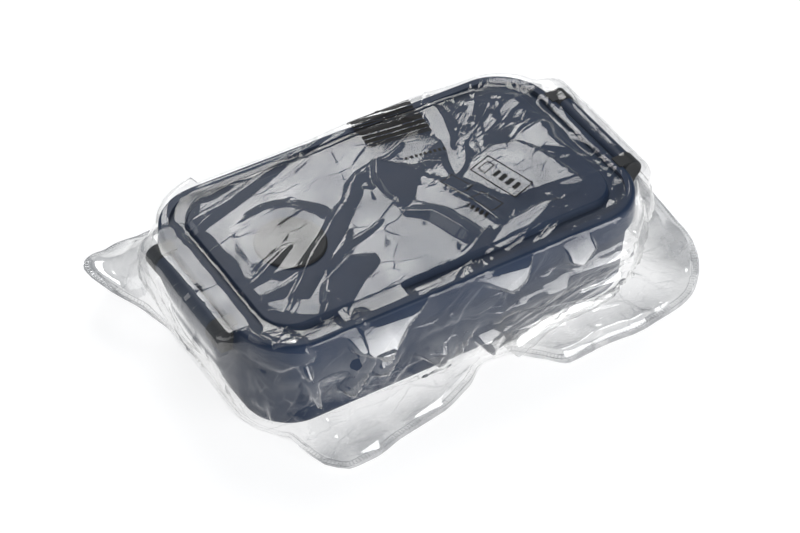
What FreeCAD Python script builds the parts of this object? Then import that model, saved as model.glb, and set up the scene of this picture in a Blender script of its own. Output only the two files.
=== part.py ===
import FreeCAD, Part
import math
import os
import re
import Sketcher
from FreeCAD import Placement, Rotation, Vector

# A lunch box with a latch on each short side, lying in the clear film bag it is packed in.
# Frame: +X along the box, +Y to its back, +Z up.
# The origin is on the surface the bag lies on, under the middle of the container.

os.makedirs("parts", exist_ok=True)
doc = FreeCAD.newDocument("LunchBox")

# Driving sizes in millimetres
SIZES = [
    ("lid_length", 210.0, "lid along X, over its lower edge"),
    ("lid_width", 119.0, "lid along Y, over its lower edge"),
    ("lid_corner", 28.0, "corner radius of the lid's lower edge, seen from above"),
    ("skirt_height", 12.6, "lid's lower edge to the top of its rim"),
    ("skirt_draft", 0.7, "how far the skirt leans in on each side"),
    ("rim_round", 1.8, "radius of the rim's outer edge"),
    ("rim_band", 4.6, "width of the raised rim"),
    ("channel_depth", 2.5, "channel floor below the rim"),
    ("channel_width", 7.3, "channel between the rim and the raised panel"),
    ("panel_rise", 1.0, "raised panel above the rim"),
    ("panel_slope", 1.3, "how far the panel's edge leans in"),
    ("lid_wall", 2.0, "wall of the lid"),
    ("container_height", 47.0, "container, foot to lip"),
    ("container_wall", 1.8, "wall and floor of the container"),
    ("container_taper", 2.0, "how far each side leans in from lip to foot"),
    ("foot_round", 5.0, "radius between the side and the foot"),
    ("lap_depth", 5.8, "how far the skirt reaches down past the lip"),
    ("lap_gap", 0.5, "free space between the skirt and the container"),
    ("seal_height", 2.3, "pressed height of the seal"),
    ("seal_width", 3.4, "width of the seal"),
    ("rib_width", 1.0, "width of the rib that holds the seal"),
    ("plug_diameter", 33.2, "round vent plug"),
    ("plug_thickness", 1.4, "plug above the panel"),
    ("plug_from_end", 48.0, "plug's middle from the lid's left end"),
    ("plug_aside", 1.0, "plug's middle off the lid's long middle line, towards +Y"),
    ("stem_diameter", 5.0, "plug's stem, through the panel"),
    ("bulb_diameter", 7.4, "plug's bulb, under the panel"),
    ("bulb_height", 2.0, "height of the bulb"),
    ("latch_span", 64.0, "latch along Y, over both knuckles"),
    ("knuckle_length", 8.6, "one knuckle along Y"),
    ("knuckle_radius", 5.6, "round part of a knuckle"),
    ("knuckle_edge", 0.8, "radius of a knuckle's end edges"),
    ("knuckle_lip", 3.0, "how far a knuckle's lip reaches in over the rim"),
    ("knuckle_lip_height", 0.6, "lip above the rim"),
    ("knuckle_tail", 1.2, "knuckle's tail below the lid's lower edge"),
    ("pivot_out", 4.0, "pivot beyond the lid's end"),
    ("pivot_drop", 5.0, "pivot below the top of the rim"),
    ("latch_gap", 0.35, "free space at each end of a flap"),
    ("flap_radius", 4.9, "round part of a flap"),
    ("flap_thickness", 2.4, "hanging plate of a flap"),
    ("flap_drop", 19.8, "pivot to the flap's lower edge"),
    ("hook_height", 2.6, "hook at the flap's lower edge"),
    ("catch_reach", 3.0, "container's catch beyond its side"),
    ("catch_height", 2.4, "height of the catch"),
    ("catch_length", 33.0, "catch along Y"),
    ("pin_diameter", 2.0, "latch pin"),
    ("pin_gap", 0.05, "free space round the pin"),
    ("pin_cover", 2.0, "knuckle beyond each end of the pin"),
    ("film_wall", 0.4, "one layer of film, drawn thicker than the real one"),
    ("film_gap", 0.35, "free space between the film and what it covers"),
    ("weld_width", 4.0, "welded edge of the bag"),
    ("crumple_top", 1.3, "height of the film's small folds on the lid"),
    ("crumple_side", 2.2, "depth of the film's folds down the sides"),
    ("vent_diameter", 5.3, "punched hole in the film"),
    ("vent_along", 61.8, "front hole's middle from the box's middle, towards -X"),
    ("vent_level", 36.0, "height of the front hole"),
    ("side_vent_along", 31.0, "left hole's middle from the box's middle, towards -Y"),
    ("side_vent_level", 20.0, "height of the left hole"),
]

sheet = doc.addObject("Spreadsheet::Sheet", "Sizes")
for row, (alias, value, note) in enumerate(SIZES, start=1):
    sheet.set("A%d" % row, alias)
    sheet.set("B%d" % row, str(value))
    sheet.set("C%d" % row, note)
    sheet.setAlias("B%d" % row, alias)

# Heights and half sizes that several pieces share
SHARED = [
    ("foot_level", "=film_wall", "underside of the container"),
    ("plug_from_middle", "=lid_length / 2 - plug_from_end", "plug's middle from the lid's middle"),
    ("lip_level", "=foot_level + container_height", "container's lip"),
    ("seam_level", "=lip_level - lap_depth", "lid's lower edge"),
    ("rim_level", "=seam_level + skirt_height", "top of the rim"),
    ("channel_level", "=rim_level - channel_depth", "channel floor"),
    ("ceiling_level", "=lip_level + seal_height", "underside of the channel"),
    ("panel_level", "=rim_level + panel_rise", "top of the raised panel"),
    ("lip_inset", "=lid_wall + lap_gap", "container's lip inside the lid's lower edge"),
    ("foot_inset", "=lip_inset + container_taper", "container's foot inside the lid's lower edge"),
    ("panel_inset", "=skirt_draft + rim_band + channel_width", "panel inside the lid's lower edge"),
    ("pivot_level", "=rim_level - pivot_drop", "pivot of a latch"),
    ("pivot_reach", "=lid_length / 2 + pivot_out", "pivot from the middle"),
    ("hook_level", "=pivot_level - flap_drop", "lower edge of a flap"),
    ("catch_level", "=hook_level + hook_height", "underside of the catch"),
]
first = len(SIZES) + 2
for row, (alias, formula, note) in enumerate(SHARED, start=first):
    sheet.set("A%d" % row, alias)
    sheet.setAlias("B%d" % row, alias)
    sheet.set("B%d" % row, formula)
    sheet.set("C%d" % row, note)
doc.recompute()


def size(alias):
    return float(sheet.get(alias))


ALIASES = [entry[0] for entry in SIZES + SHARED]


def bind(obj, prop, formula):
    """Ties one property to a formula in the sheet's names."""
    def full_name(word):
        return "Sizes." + word.group(0) if word.group(0) in ALIASES else word.group(0)
    obj.setExpression(prop, re.sub(r"[a-z_]+", full_name, formula))


def worked_out(formula):
    """The number that a formula in the sheet's names comes to."""
    return float(sheet.evalExpression(formula))


# Bodies, sketches and features
def new_body(name):
    body = doc.addObject("PartDesign::Body", name)
    body.Label = name
    return body


def new_sketch(body, name, role="XY_Plane", level=None):
    sketch = body.newObject("Sketcher::SketchObject", name)
    plane = [item for item in body.Origin.OriginFeatures if item.Role == role][0]
    sketch.AttachmentSupport = [(plane, "")]
    sketch.MapMode = "FlatFace"
    if level is not None:
        bind(sketch, "AttachmentOffset.Base.z", level)
    return sketch


def named_distance(sketch, name, constraint, formula):
    index = sketch.addConstraint(constraint)
    sketch.renameConstraint(index, name)
    bind(sketch, "Constraints." + name, formula)


def rounded_rectangle(sketch, tag, length, width, corner):
    """A rectangle with round corners about the sketch's origin, held by its sizes."""
    a = worked_out(length) / 2
    b = worked_out(width) / 2
    r = worked_out(corner)
    base = sketch.GeometryCount
    sides = [
        ((-a + r, -b), (a - r, -b)), ((a, -b + r), (a, b - r)),
        ((a - r, b), (-a + r, b)), ((-a, b - r), (-a, -b + r)),
    ]
    for start, end in sides:
        sketch.addGeometry(Part.LineSegment(Vector(*start, 0), Vector(*end, 0)), False)
    centres = [(a - r, -b + r, 270), (a - r, b - r, 0), (-a + r, b - r, 90), (-a + r, -b + r, 180)]
    for x, y, turn in centres:
        circle = Part.Circle(Vector(x, y, 0), Vector(0, 0, 1), r)
        arc = Part.ArcOfCircle(circle, math.radians(turn), math.radians(turn + 90))
        sketch.addGeometry(arc, False)
    for k in range(4):
        side = base + k
        arc = base + 4 + k
        sketch.addConstraint(Sketcher.Constraint("Tangent", side, 2, arc, 1))
        sketch.addConstraint(Sketcher.Constraint("Tangent", arc, 2, base + (k + 1) % 4, 1))
    for k in range(3):
        sketch.addConstraint(Sketcher.Constraint("Equal", base + 4 + k, base + 5 + k))
    sketch.addConstraint(Sketcher.Constraint("Horizontal", base))
    sketch.addConstraint(Sketcher.Constraint("Vertical", base + 1))
    sketch.addConstraint(Sketcher.Constraint("Symmetric", base, 1, base + 2, 1, -1, 1))
    across = Sketcher.Constraint("DistanceX", base + 3, 1, base + 1, 1, 2 * a)
    along = Sketcher.Constraint("DistanceY", base, 1, base + 2, 1, 2 * b)
    named_distance(sketch, tag + "_length", across, length)
    named_distance(sketch, tag + "_width", along, width)
    named_distance(sketch, tag + "_corner", Sketcher.Constraint("Radius", base + 4, r), corner)


def lid_shaped(sketch, tag, inset):
    """The lid's outline, drawn in by an inset."""
    length = "lid_length - 2 * (%s)" % inset
    width = "lid_width - 2 * (%s)" % inset
    rounded_rectangle(sketch, tag, length, width, "lid_corner - (%s)" % inset)


def circle_at(sketch, tag, x, y, diameter):
    """A circle held by its middle and its diameter."""
    middle = Vector(worked_out(x), worked_out(y), 0)
    across = worked_out(diameter)
    index = sketch.addGeometry(Part.Circle(middle, Vector(0, 0, 1), across / 2), False)
    place_point(sketch, tag, index, 3, x, y)
    named_distance(sketch, tag + "_across", Sketcher.Constraint("Diameter", index, across), diameter)


def place_point(sketch, tag, geometry, point, x, y):
    """Holds a point at a place given by two formulas."""
    for axis, formula in (("X", x), ("Y", y)):
        value = worked_out(formula)
        if abs(value) < 1e-9:
            other = -2 if axis == "X" else -1
            sketch.addConstraint(Sketcher.Constraint("PointOnObject", geometry, point, other))
        else:
            held = Sketcher.Constraint("Distance" + axis, -1, 1, geometry, point, value)
            named_distance(sketch, "%s_%s" % (tag, axis.lower()), held, formula)


def polygon(sketch, tag, points):
    """A closed outline whose corners are held by formulas."""
    places = [Vector(worked_out(x), worked_out(y), 0) for x, y in points]
    base = sketch.GeometryCount
    count = len(places)
    for k, place in enumerate(places):
        sketch.addGeometry(Part.LineSegment(place, places[(k + 1) % count]), False)
    for k in range(count):
        after = base + (k + 1) % count
        sketch.addConstraint(Sketcher.Constraint("Coincident", base + k, 2, after, 1))
    for k, (x, y) in enumerate(points):
        place_point(sketch, "%s%d" % (tag, k), base + k, 1, x, y)


def pad(body, name, sketch, length, upwards=True):
    feature = body.newObject("PartDesign::Pad", name)
    feature.Profile = sketch
    feature.Reversed = not upwards
    bind(feature, "Length", length)
    return keep(body, feature, 1)


def pocket(body, name, sketch, length, upwards=True):
    feature = body.newObject("PartDesign::Pocket", name)
    feature.Profile = sketch
    feature.Reversed = upwards
    bind(feature, "Length", length)
    return keep(body, feature, -1)


def lean_in(body, name, feature, neutral, angle, top=None):
    """Leans upright faces in from a sketch's plane: all of them, or those that end at one height."""
    upright = []
    for k, face in enumerate(feature.Shape.Faces):
        ends_there = top is None or abs(face.BoundBox.ZMax - top) < 1e-3
        if abs(face.normalAt(0, 0).z) < 0.5 and ends_there:
            upright.append("Face%d" % (k + 1))
    draft = body.newObject("PartDesign::Draft", name)
    draft.Base = (feature, upright)
    draft.NeutralPlane = (neutral, [""])
    draft.Reversed = False
    bind(draft, "Angle", angle)
    before = feature.Shape.Volume
    doc.recompute()
    if draft.Shape.isNull() or draft.Shape.Volume > before:
        draft.Reversed = True
    return keep(body, draft, -1)


def keep(body, feature, sign):
    """Recomputes a feature and makes sure that it added or took away material."""
    before = volumes.get(body.Name, 0.0)
    doc.recompute()
    after = feature.Shape.Volume
    if (after - before) * sign <= 1e-3 or after <= 0:
        raise ValueError("%s in %s changed nothing" % (feature.Name, body.Name))
    volumes[body.Name] = after
    return feature


def edges_where(feature, test):
    return ["Edge%d" % (k + 1) for k, edge in enumerate(feature.Shape.Edges) if test(edge)]


def at_level(level):
    """A test for the edges that lie at one height."""
    def test(edge):
        first, last = edge.FirstParameter, edge.LastParameter
        places = (first, (first + last) / 2, last)
        return all(abs(edge.valueAt(place).z - level) < 1e-4 for place in places)
    return test


def round_edges(body, name, feature, test, radius):
    names = edges_where(feature, test)
    if not names:
        raise ValueError("no edges to round for %s in %s" % (name, body.Name))
    rounded = body.newObject("PartDesign::Fillet", name)
    rounded.Base = (feature, names)
    bind(rounded, "Radius", radius)
    return keep(body, rounded, -1)


volumes = {}


# Container
def make_container():
    body = new_body("container")
    lip = new_sketch(body, "lip_outline", level="lip_level")
    lid_shaped(lip, "lip", "lip_inset")
    block = pad(body, "block", lip, "container_height", upwards=False)
    block = lean_in(body, "lean", block, lip, "atan(container_taper / container_height)")
    block = round_edges(body, "foot_round_edge", block, at_level(size("foot_level")), "foot_round")
    lip_level = size("lip_level")
    top = []
    for k, face in enumerate(block.Shape.Faces):
        if abs(face.CenterOfMass.z - lip_level) < 1e-4:
            top.append("Face%d" % (k + 1))
    hollow = body.newObject("PartDesign::Thickness", "hollow")
    hollow.Base = (block, top)
    hollow.Reversed = True
    bind(hollow, "Value", "container_wall")
    keep(body, hollow, -1)
    for side, word in ((1, "right"), (-1, "left")):
        catch = new_sketch(body, word + "_catch_outline", level="catch_level")
        near = "%d * (lid_length / 2 - foot_inset + container_taper / 4)" % side
        far = "%d * (lid_length / 2 - lip_inset + catch_reach)" % side
        half = "catch_length / 2"
        polygon(catch, "corner", [(near, "-" + half), (far, "-" + half), (far, half), (near, half)])
        pad(body, word + "_catch", catch, "catch_height")
    return body


# Lid
def make_lid():
    body = new_body("lid")
    lower = new_sketch(body, "lower_edge_outline", level="seam_level")
    rounded_rectangle(lower, "lower", "lid_length", "lid_width", "lid_corner")
    block = pad(body, "block", lower, "skirt_height")
    block = lean_in(body, "skirt_lean", block, lower, "atan(skirt_draft / skirt_height)")
    block = round_edges(body, "rim_round_edge", block, at_level(size("rim_level")), "rim_round")
    well = new_sketch(body, "well_outline", level="rim_level")
    lid_shaped(well, "well", "skirt_draft + rim_band")
    pocket(body, "well", well, "channel_depth", upwards=False)
    panel_foot = new_sketch(body, "panel_foot_outline", level="channel_level")
    lid_shaped(panel_foot, "panel_foot", "panel_inset")
    panel = pad(body, "panel", panel_foot, "panel_level - channel_level")
    slope = "atan(panel_slope / (panel_level - channel_level))"
    panel = lean_in(body, "panel_lean", panel, panel_foot, slope, size("panel_level"))
    panel_top = at_level(size("panel_level"))
    panel = round_edges(body, "panel_round_edge", panel, panel_top, "panel_rise * 0.8")
    under = new_sketch(body, "underside_outline", level="seam_level")
    lid_shaped(under, "under", "lid_wall")
    pocket(body, "underside", under, "ceiling_level - seam_level")
    below = new_sketch(body, "panel_underside_outline", level="ceiling_level")
    lid_shaped(below, "below", "panel_inset + panel_slope + lid_wall")
    pocket(body, "panel_underside", below, "panel_level - lid_wall - ceiling_level")
    rib = new_sketch(body, "seal_rib_outline", level="ceiling_level")
    lid_shaped(rib, "rib_out", "lid_wall + seal_width")
    lid_shaped(rib, "rib_in", "lid_wall + seal_width + rib_width")
    pad(body, "seal_rib", rib, "seal_height", upwards=False)
    vent = new_sketch(body, "vent_outline", level="panel_level")
    circle_at(vent, "vent", "-plug_from_middle", "plug_aside", "stem_diameter")
    pocket(body, "vent", vent, "lid_wall * 1.5", upwards=False)
    return body


# Seal between the lid and the container's lip
def make_seal():
    body = new_body("lid_seal")
    ring = new_sketch(body, "ring_outline", level="lip_level")
    lid_shaped(ring, "out", "lid_wall")
    lid_shaped(ring, "inn", "lid_wall + seal_width")
    pad(body, "ring", ring, "seal_height")
    return body


# Vent plug: a soft disc on the panel, with a stem and a bulb through the lid
def make_vent_plug():
    body = new_body("vent_plug")
    for name, level, across, tall in (
        ("disc", "panel_level", "plug_diameter", "plug_thickness"),
        ("stem", "panel_level - lid_wall", "stem_diameter", "lid_wall"),
        ("bulb", "panel_level - lid_wall - bulb_height", "bulb_diameter", "bulb_height"),
    ):
        outline = new_sketch(body, name + "_outline", level=level)
        circle_at(outline, name, "-plug_from_middle", "plug_aside", across)
        feature = pad(body, name, outline, tall)
    top = size("panel_level") + size("plug_thickness")
    feature = round_edges(body, "disc_round_edge", feature, at_level(top), "plug_thickness * 0.6")
    bottom = size("panel_level") - size("lid_wall") - size("bulb_height")
    round_edges(body, "bulb_round_edge", feature, at_level(bottom), "bulb_height * 0.6")
    return body


# Latch knuckle: a soft black end piece that grips the lid's rim and carries the pin
def make_knuckle(name, turned, end):
    body = new_body(name)
    start = "(latch_span / 2 - knuckle_length)" if end > 0 else "(-latch_span / 2)"
    outline = new_sketch(body, "barrel_outline", "XZ_Plane", "-%s" % start)
    circle_at(outline, "barrel", "pivot_reach", "pivot_level", "2 * knuckle_radius")
    barrel = pad(body, "barrel", outline, "knuckle_length", upwards=False)

    def round_ends(edge):
        return edge.Curve.TypeId == "Part::GeomCircle"

    round_edges(body, "barrel_round_edge", barrel, round_ends, "knuckle_edge")
    inner = "lid_length / 2 - knuckle_lip"
    top = "rim_level + knuckle_lip_height"
    far = "pivot_reach + knuckle_radius * 0.8"
    low = "seam_level - knuckle_tail"
    body_side = "lid_length / 2 + 0.05"
    shapes = {
        "lip": [
            (inner, "rim_level"), (body_side, "rim_level"), (body_side, "pivot_level"),
            ("pivot_reach", "pivot_level"), ("pivot_reach", top), (inner, top),
        ],
        "tail": [
            (body_side, low), ("pivot_reach + knuckle_radius * 0.3", low),
            (far, "pivot_level - knuckle_radius * 0.6"), (body_side, "pivot_level"),
        ],
    }
    for word, corners in shapes.items():
        level = "-(%s + knuckle_edge)" % start
        outline = new_sketch(body, word + "_outline", "XZ_Plane", level)
        polygon(outline, word, corners)
        pad(body, word, outline, "knuckle_length - 2 * knuckle_edge", upwards=False)
    seat = new_sketch(body, "seat_outline", "XZ_Plane", "-(%s - 1)" % start)
    near = "lid_length / 2 - knuckle_radius"
    low = "pivot_level - 2 * knuckle_radius"
    rim = "rim_level"
    polygon(seat, "seat", [(near, low), (body_side, low), (body_side, rim), (near, rim)])
    pocket(body, "seat", seat, "knuckle_length + 2", upwards=False)
    mouth = "latch_span / 2 - knuckle_length"
    if end < 0:
        mouth = "knuckle_length - latch_span / 2"
    hole = new_sketch(body, "pin_hole_outline", "XZ_Plane", "-(%s)" % mouth)
    circle_at(hole, "hole", "pivot_reach", "pivot_level", "pin_diameter + 2 * pin_gap")
    pocket(body, "pin_hole", hole, "knuckle_length - pin_cover", upwards=end < 0)
    body.Placement = Placement(Vector(0, 0, 0), Rotation(Vector(0, 0, 1), 180 if turned else 0))
    return body


# Latch flap: a round back on the pin, a hanging plate and a hook under the catch
def make_flap(name, turned):
    body = new_body(name)
    half = "(latch_span / 2 - knuckle_length - latch_gap)"
    outline = new_sketch(body, "barrel_outline", "XZ_Plane", half)
    circle_at(outline, "barrel", "pivot_reach", "pivot_level", "2 * flap_radius")
    pad(body, "barrel", outline, "2 * " + half, upwards=False)
    plate = new_sketch(body, "plate_outline", "XZ_Plane", half)
    inner = "lid_length / 2 + 0.6"
    outer = "lid_length / 2 + 0.6 + flap_thickness"
    shoulder = ("pivot_reach + flap_radius * 0.8", "pivot_level - flap_radius * 0.6")
    corners = [(inner, "hook_level"), (outer, "hook_level"), shoulder]
    corners += [("pivot_reach", "pivot_level"), (inner, "pivot_level")]
    polygon(plate, "plate", corners)
    pad(body, "plate", plate, "2 * " + half, upwards=False)
    hook = new_sketch(body, "hook_outline", "XZ_Plane", half)
    reach = "lid_length / 2 - lip_inset + catch_reach * 0.2"
    hook_top = "hook_level + hook_height"
    corners = [(reach, "hook_level"), (outer, "hook_level"), (outer, hook_top), (reach, hook_top)]
    polygon(hook, "hook", corners)
    pad(body, "hook", hook, "2 * " + half, upwards=False)
    seat = new_sketch(body, "seat_outline", "XZ_Plane", "(%s + 1)" % half)
    near = "lid_length / 2 - 2 * flap_radius"
    low = "catch_level + catch_height + 0.4"
    face = "lid_length / 2 + 0.3"
    high = "rim_level + flap_radius"
    polygon(seat, "seat", [(near, low), (face, low), (face, high), (near, high)])
    block = pocket(body, "seat", seat, "2 * %s + 2" % half, upwards=False)
    outer_face = size("lid_length") / 2 + 0.6 + size("flap_thickness")
    hook_level = size("hook_level")

    def lower_rim(edge):
        box = edge.BoundBox
        upright = abs(box.XMin - outer_face) < 1e-4 and abs(box.XMax - outer_face) < 1e-4
        return upright and abs(box.ZMax - hook_level) < 1e-4

    block = round_edges(body, "lower_round_edge", block, lower_rim, "flap_thickness * 0.4")
    hole = new_sketch(body, "pin_hole_outline", "XZ_Plane", "(%s + 1)" % half)
    circle_at(hole, "hole", "pivot_reach", "pivot_level", "pin_diameter + 2 * pin_gap")
    pocket(body, "pin_hole", hole, "2 * %s + 2" % half, upwards=False)
    body.Placement = Placement(Vector(0, 0, 0), Rotation(Vector(0, 0, 1), 180 if turned else 0))
    return body


# Latch pin
def make_pin(name, turned):
    body = new_body(name)
    half = "(latch_span / 2 - pin_cover)"
    outline = new_sketch(body, "pin_outline", "XZ_Plane", half)
    circle_at(outline, "pin", "pivot_reach", "pivot_level", "pin_diameter")
    pad(body, "pin", outline, "2 * " + half, upwards=False)
    body.Placement = Placement(Vector(0, 0, 0), Rotation(Vector(0, 0, 1), 180 if turned else 0))
    return body


# Bag: two layers of film, welded all round, that hang over the box and lie out on the surface.
# Each place on the hem is a turn round the lid (0 at +X, a quarter at +Y), how far out of the lid's
# edge the hem lies, how high its edge stands, how high the film leaves the box's side, and how far
# it stands off that side there.
HEM = [
    (0.000, 40.0, 0.4, 9.0, 7.0),
    (0.040, 42.0, 0.4, 14.0, 12.0),
    (0.062, 47.0, 0.8, 24.0, 17.0),
    (0.079, 45.0, 0.4, 26.0, 18.0),
    (0.114, 33.0, 0.4, 26.0, 16.0),
    (0.168, 35.0, 0.4, 27.0, 17.0),
    (0.234, 37.0, 0.4, 25.0, 16.0),
    (0.299, 37.0, 0.4, 24.0, 15.0),
    (0.348, 34.0, 2.0, 24.0, 13.0),
    (0.387, 30.0, 7.0, 26.0, 9.0),
    (0.405, 32.0, 14.0, 28.0, 7.0),
    (0.419, 36.0, 21.0, 30.0, 6.0),
    (0.430, 25.0, 19.0, 28.0, 4.0),
    (0.442, 10.0, 12.0, 22.0, 2.0),
    (0.461, 2.0, 4.5, 12.0, 1.2),
    (0.500, 0.3, 1.0, 6.0, 1.0),
    (0.549, 0.1, 0.4, 6.0, 1.0),
    (0.583, 0.3, 0.4, 7.0, 1.0),
    (0.600, 3.5, 0.4, 12.0, 1.0),
    (0.609, 13.0, 0.8, 17.0, 1.0),
    (0.616, 24.0, 2.0, 18.0, 1.0),
    (0.623, 30.0, 3.0, 16.0, 1.0),
    (0.640, 29.0, 2.0, 12.0, 1.0),
    (0.668, 24.0, 0.8, 7.0, 1.0),
    (0.711, 19.5, 0.4, 4.5, 1.0),
    (0.740, 12.5, 0.4, 4.0, 1.0),
    (0.765, 3.5, 0.4, 3.6, 1.0),
    (0.783, 4.5, 0.6, 4.0, 1.2),
    (0.802, 15.0, 1.2, 6.0, 1.6),
    (0.818, 24.5, 2.0, 8.0, 2.0),
    (0.852, 22.5, 0.8, 10.0, 3.0),
    (0.887, 24.0, 0.8, 11.0, 4.0),
    (0.916, 33.0, 0.6, 10.0, 5.0),
    (0.937, 37.0, 0.4, 9.0, 6.0),
]
TURNS = 108


def round_outline(turn, inset):
    """A place on the lid's outline, drawn in by an inset, and the way out of it."""
    r = size("lid_corner")
    a = size("lid_length") / 2 - r
    b = size("lid_width") / 2 - r
    quarter = math.pi * r / 2
    runs = [
        ("side", b, 0), ("arc", quarter, 0), ("side", 2 * a, 90), ("arc", quarter, 90),
        ("side", 2 * b, 180), ("arc", quarter, 180), ("side", 2 * a, 270),
        ("arc", quarter, 270), ("side", b, 0),
    ]
    middles = {0: (a, b), 90: (-a, b), 180: (-a, -b), 270: (a, -b)}
    starts = {0: (a + r, 0.0), 90: (a, b + r), 180: (-a - r, b), 270: (-a, -b - r)}
    left = (turn % 1.0) * sum(run[1] for run in runs)
    for number, (kind, length, way) in enumerate(runs):
        if left <= length or number == len(runs) - 1:
            break
        left -= length
    if kind == "arc":
        angle = math.radians(way) + left / r
        x, y = middles[way]
        out_x, out_y = math.cos(angle), math.sin(angle)
        return x + (r - inset) * out_x, y + (r - inset) * out_y, out_x, out_y
    out_x, out_y = math.cos(math.radians(way)), math.sin(math.radians(way))
    x, y = starts[way] if number < 8 else (a + r, -b)
    return x - out_y * left - out_x * inset, y + out_x * left - out_y * inset, out_x, out_y


def hem_at(turn):
    """The hem's four values at any turn, on a smooth closed curve through the places above."""
    count = len(HEM)
    k = max(index for index in range(count) if HEM[index][0] <= turn)
    places = [HEM[(k + step) % count] for step in (-1, 0, 1, 2)]
    start = places[1][0]
    end = places[2][0] if places[2][0] > start else places[2][0] + 1.0
    part = (turn - start) / (end - start)
    values = []
    for column in (1, 2, 3, 4):
        p0, p1, p2, p3 = (place[column] for place in places)
        step_0, step_1, step_2 = p1 - p0, p2 - p1, p3 - p2
        rise_1, rise_2 = 0.0, 0.0
        if step_0 * step_1 > 0:
            rise_1 = min(abs(step_0), abs(step_1)) * math.copysign(1, step_1)
        if step_1 * step_2 > 0:
            rise_2 = min(abs(step_1), abs(step_2)) * math.copysign(1, step_1)
        square, cube = part * part, part * part * part
        values.append((2 * cube - 3 * square + 1) * p1 + (cube - 2 * square + part) * rise_1
                      + (3 * square - 2 * cube) * p2 + (cube - square) * rise_2)
    return values


def chance(ring, place):
    """A fixed number between 0 and 1 that looks random, one for each point of the film."""
    mixed = math.sin(ring * 127.1 + (place % TURNS) * 311.7 + 0.37) * 43758.5453
    return mixed - math.floor(mixed)


def over_latch(y):
    """1 beside a latch, falling to 0 past its ends."""
    past = (abs(y) - size("latch_span") / 2 - 2.0) / 9.0
    return 1.0 - min(1.0, max(0.0, past)) ** 2 * (3 - 2 * min(1.0, max(0.0, past)))


def over_plug(x, y):
    """1 over the vent plug, falling to 0 past its edge."""
    away = math.hypot(x + size("plug_from_middle"), y - size("plug_aside"))
    past = min(1.0, max(0.0, (away - size("plug_diameter") / 2 - 1.0) / 12.0))
    return 1.0 - past * past * (3 - 2 * past)


def creases(x, y):
    """Height of the film's small sharp folds on the lid, at most 1: three crossing sets of ridges."""
    total = 0.0
    for way, length, shift in ((28.0, 34.0, 0.3), (71.0, 27.0, 1.7), (128.0, 41.0, 2.6)):
        along = x * math.cos(math.radians(way)) + y * math.sin(math.radians(way))
        across = y * math.cos(math.radians(way)) - x * math.sin(math.radians(way))
        bent = along + 5.0 * math.sin(across / 23.0 + shift)
        total += max(0.0, 1.0 - abs(((bent / length + shift) % 1.0) - 0.5) * 5.0) / 1.6
    return min(1.0, total)


def section(place):
    """The film's course at one place round the lid, as distances out of the lid's edge and heights."""
    turn = place / TURNS
    reach, lift, leave, off = hem_at(turn)
    x0, y0, out_x, out_y = round_outline(turn, 0.0)
    at_end = abs(x0) > size("lid_length") / 2 - size("lid_corner")
    beside = over_latch(y0) if at_end else 0.0
    cover = size("film_wall") + size("film_gap")
    fold = size("crumple_side")
    rim = size("rim_level")
    seam = size("seam_level")
    edge = (size("rim_round") + cover) * 1.08
    round_out = -size("skirt_draft") - size("rim_round")
    round_level = rim - size("rim_round")
    knuckle = (size("knuckle_radius") + cover) * 1.08
    pivot_out, pivot = size("pivot_out"), size("pivot_level")
    low = min(leave, seam - 12.0)
    waist = seam - 4.0
    plain = [
        (round_out, round_level + edge), (round_out + edge * 0.71, round_level + edge * 0.71),
        (round_out + edge, round_level), (cover - 0.2, (rim + seam) / 2), (cover + 0.2, seam),
        (cover + 0.2, waist),
    ]
    latch = [
        (1.0, pivot + knuckle - 0.3), (pivot_out, pivot + knuckle),
        (pivot_out + knuckle * 0.71, pivot + knuckle * 0.71), (pivot_out + knuckle, pivot),
        (pivot_out + knuckle * 0.8, seam + 1.0), (pivot_out + 4.5, waist),
    ]
    course = []
    for number, (flat, raised) in enumerate(zip(plain, latch)):
        out = flat[0] + (raised[0] - flat[0]) * beside
        level = flat[1] + (raised[1] - flat[1]) * beside
        share = min(1.0, max(0.0, (number - 2) / 3.0))
        out += fold * 0.45 * share * chance(10 + number, place) + 0.55 * off * share ** 2
        course.append((out, level))
    taper = size("container_taper") / size("container_height")
    side_out = cover - size("lip_inset") - taper * (size("lip_level") - low)
    side_out += max(0.0, off - 0.75) + 0.5 * max(0.0, course[-1][0] - side_out) * low / waist
    side_out += fold * 0.35 * chance(17, place)
    between = (course[-1][0] + side_out) / 2 + 0.2 * off + fold * 0.5 * chance(16, place)
    course.append((between, (waist + low) / 2))
    course.append((side_out, low))
    weld = min(size("weld_width"), 0.4 * max(0.8, reach - side_out))
    weld_level = max(size("film_wall"), lift)
    room = min(fold, 0.2 * max(0.0, reach - side_out))
    for number, part in ((18, 0.45), (19, 0.8)):
        out = side_out + (reach - weld - side_out) * part
        level = low + (weld_level + size("film_wall") - low) * (1 - (1 - part) ** 1.5)
        course.append((out, level + room * chance(number, place)))
    return (x0, y0, out_x, out_y), course, reach - weld, reach, weld_level


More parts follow.
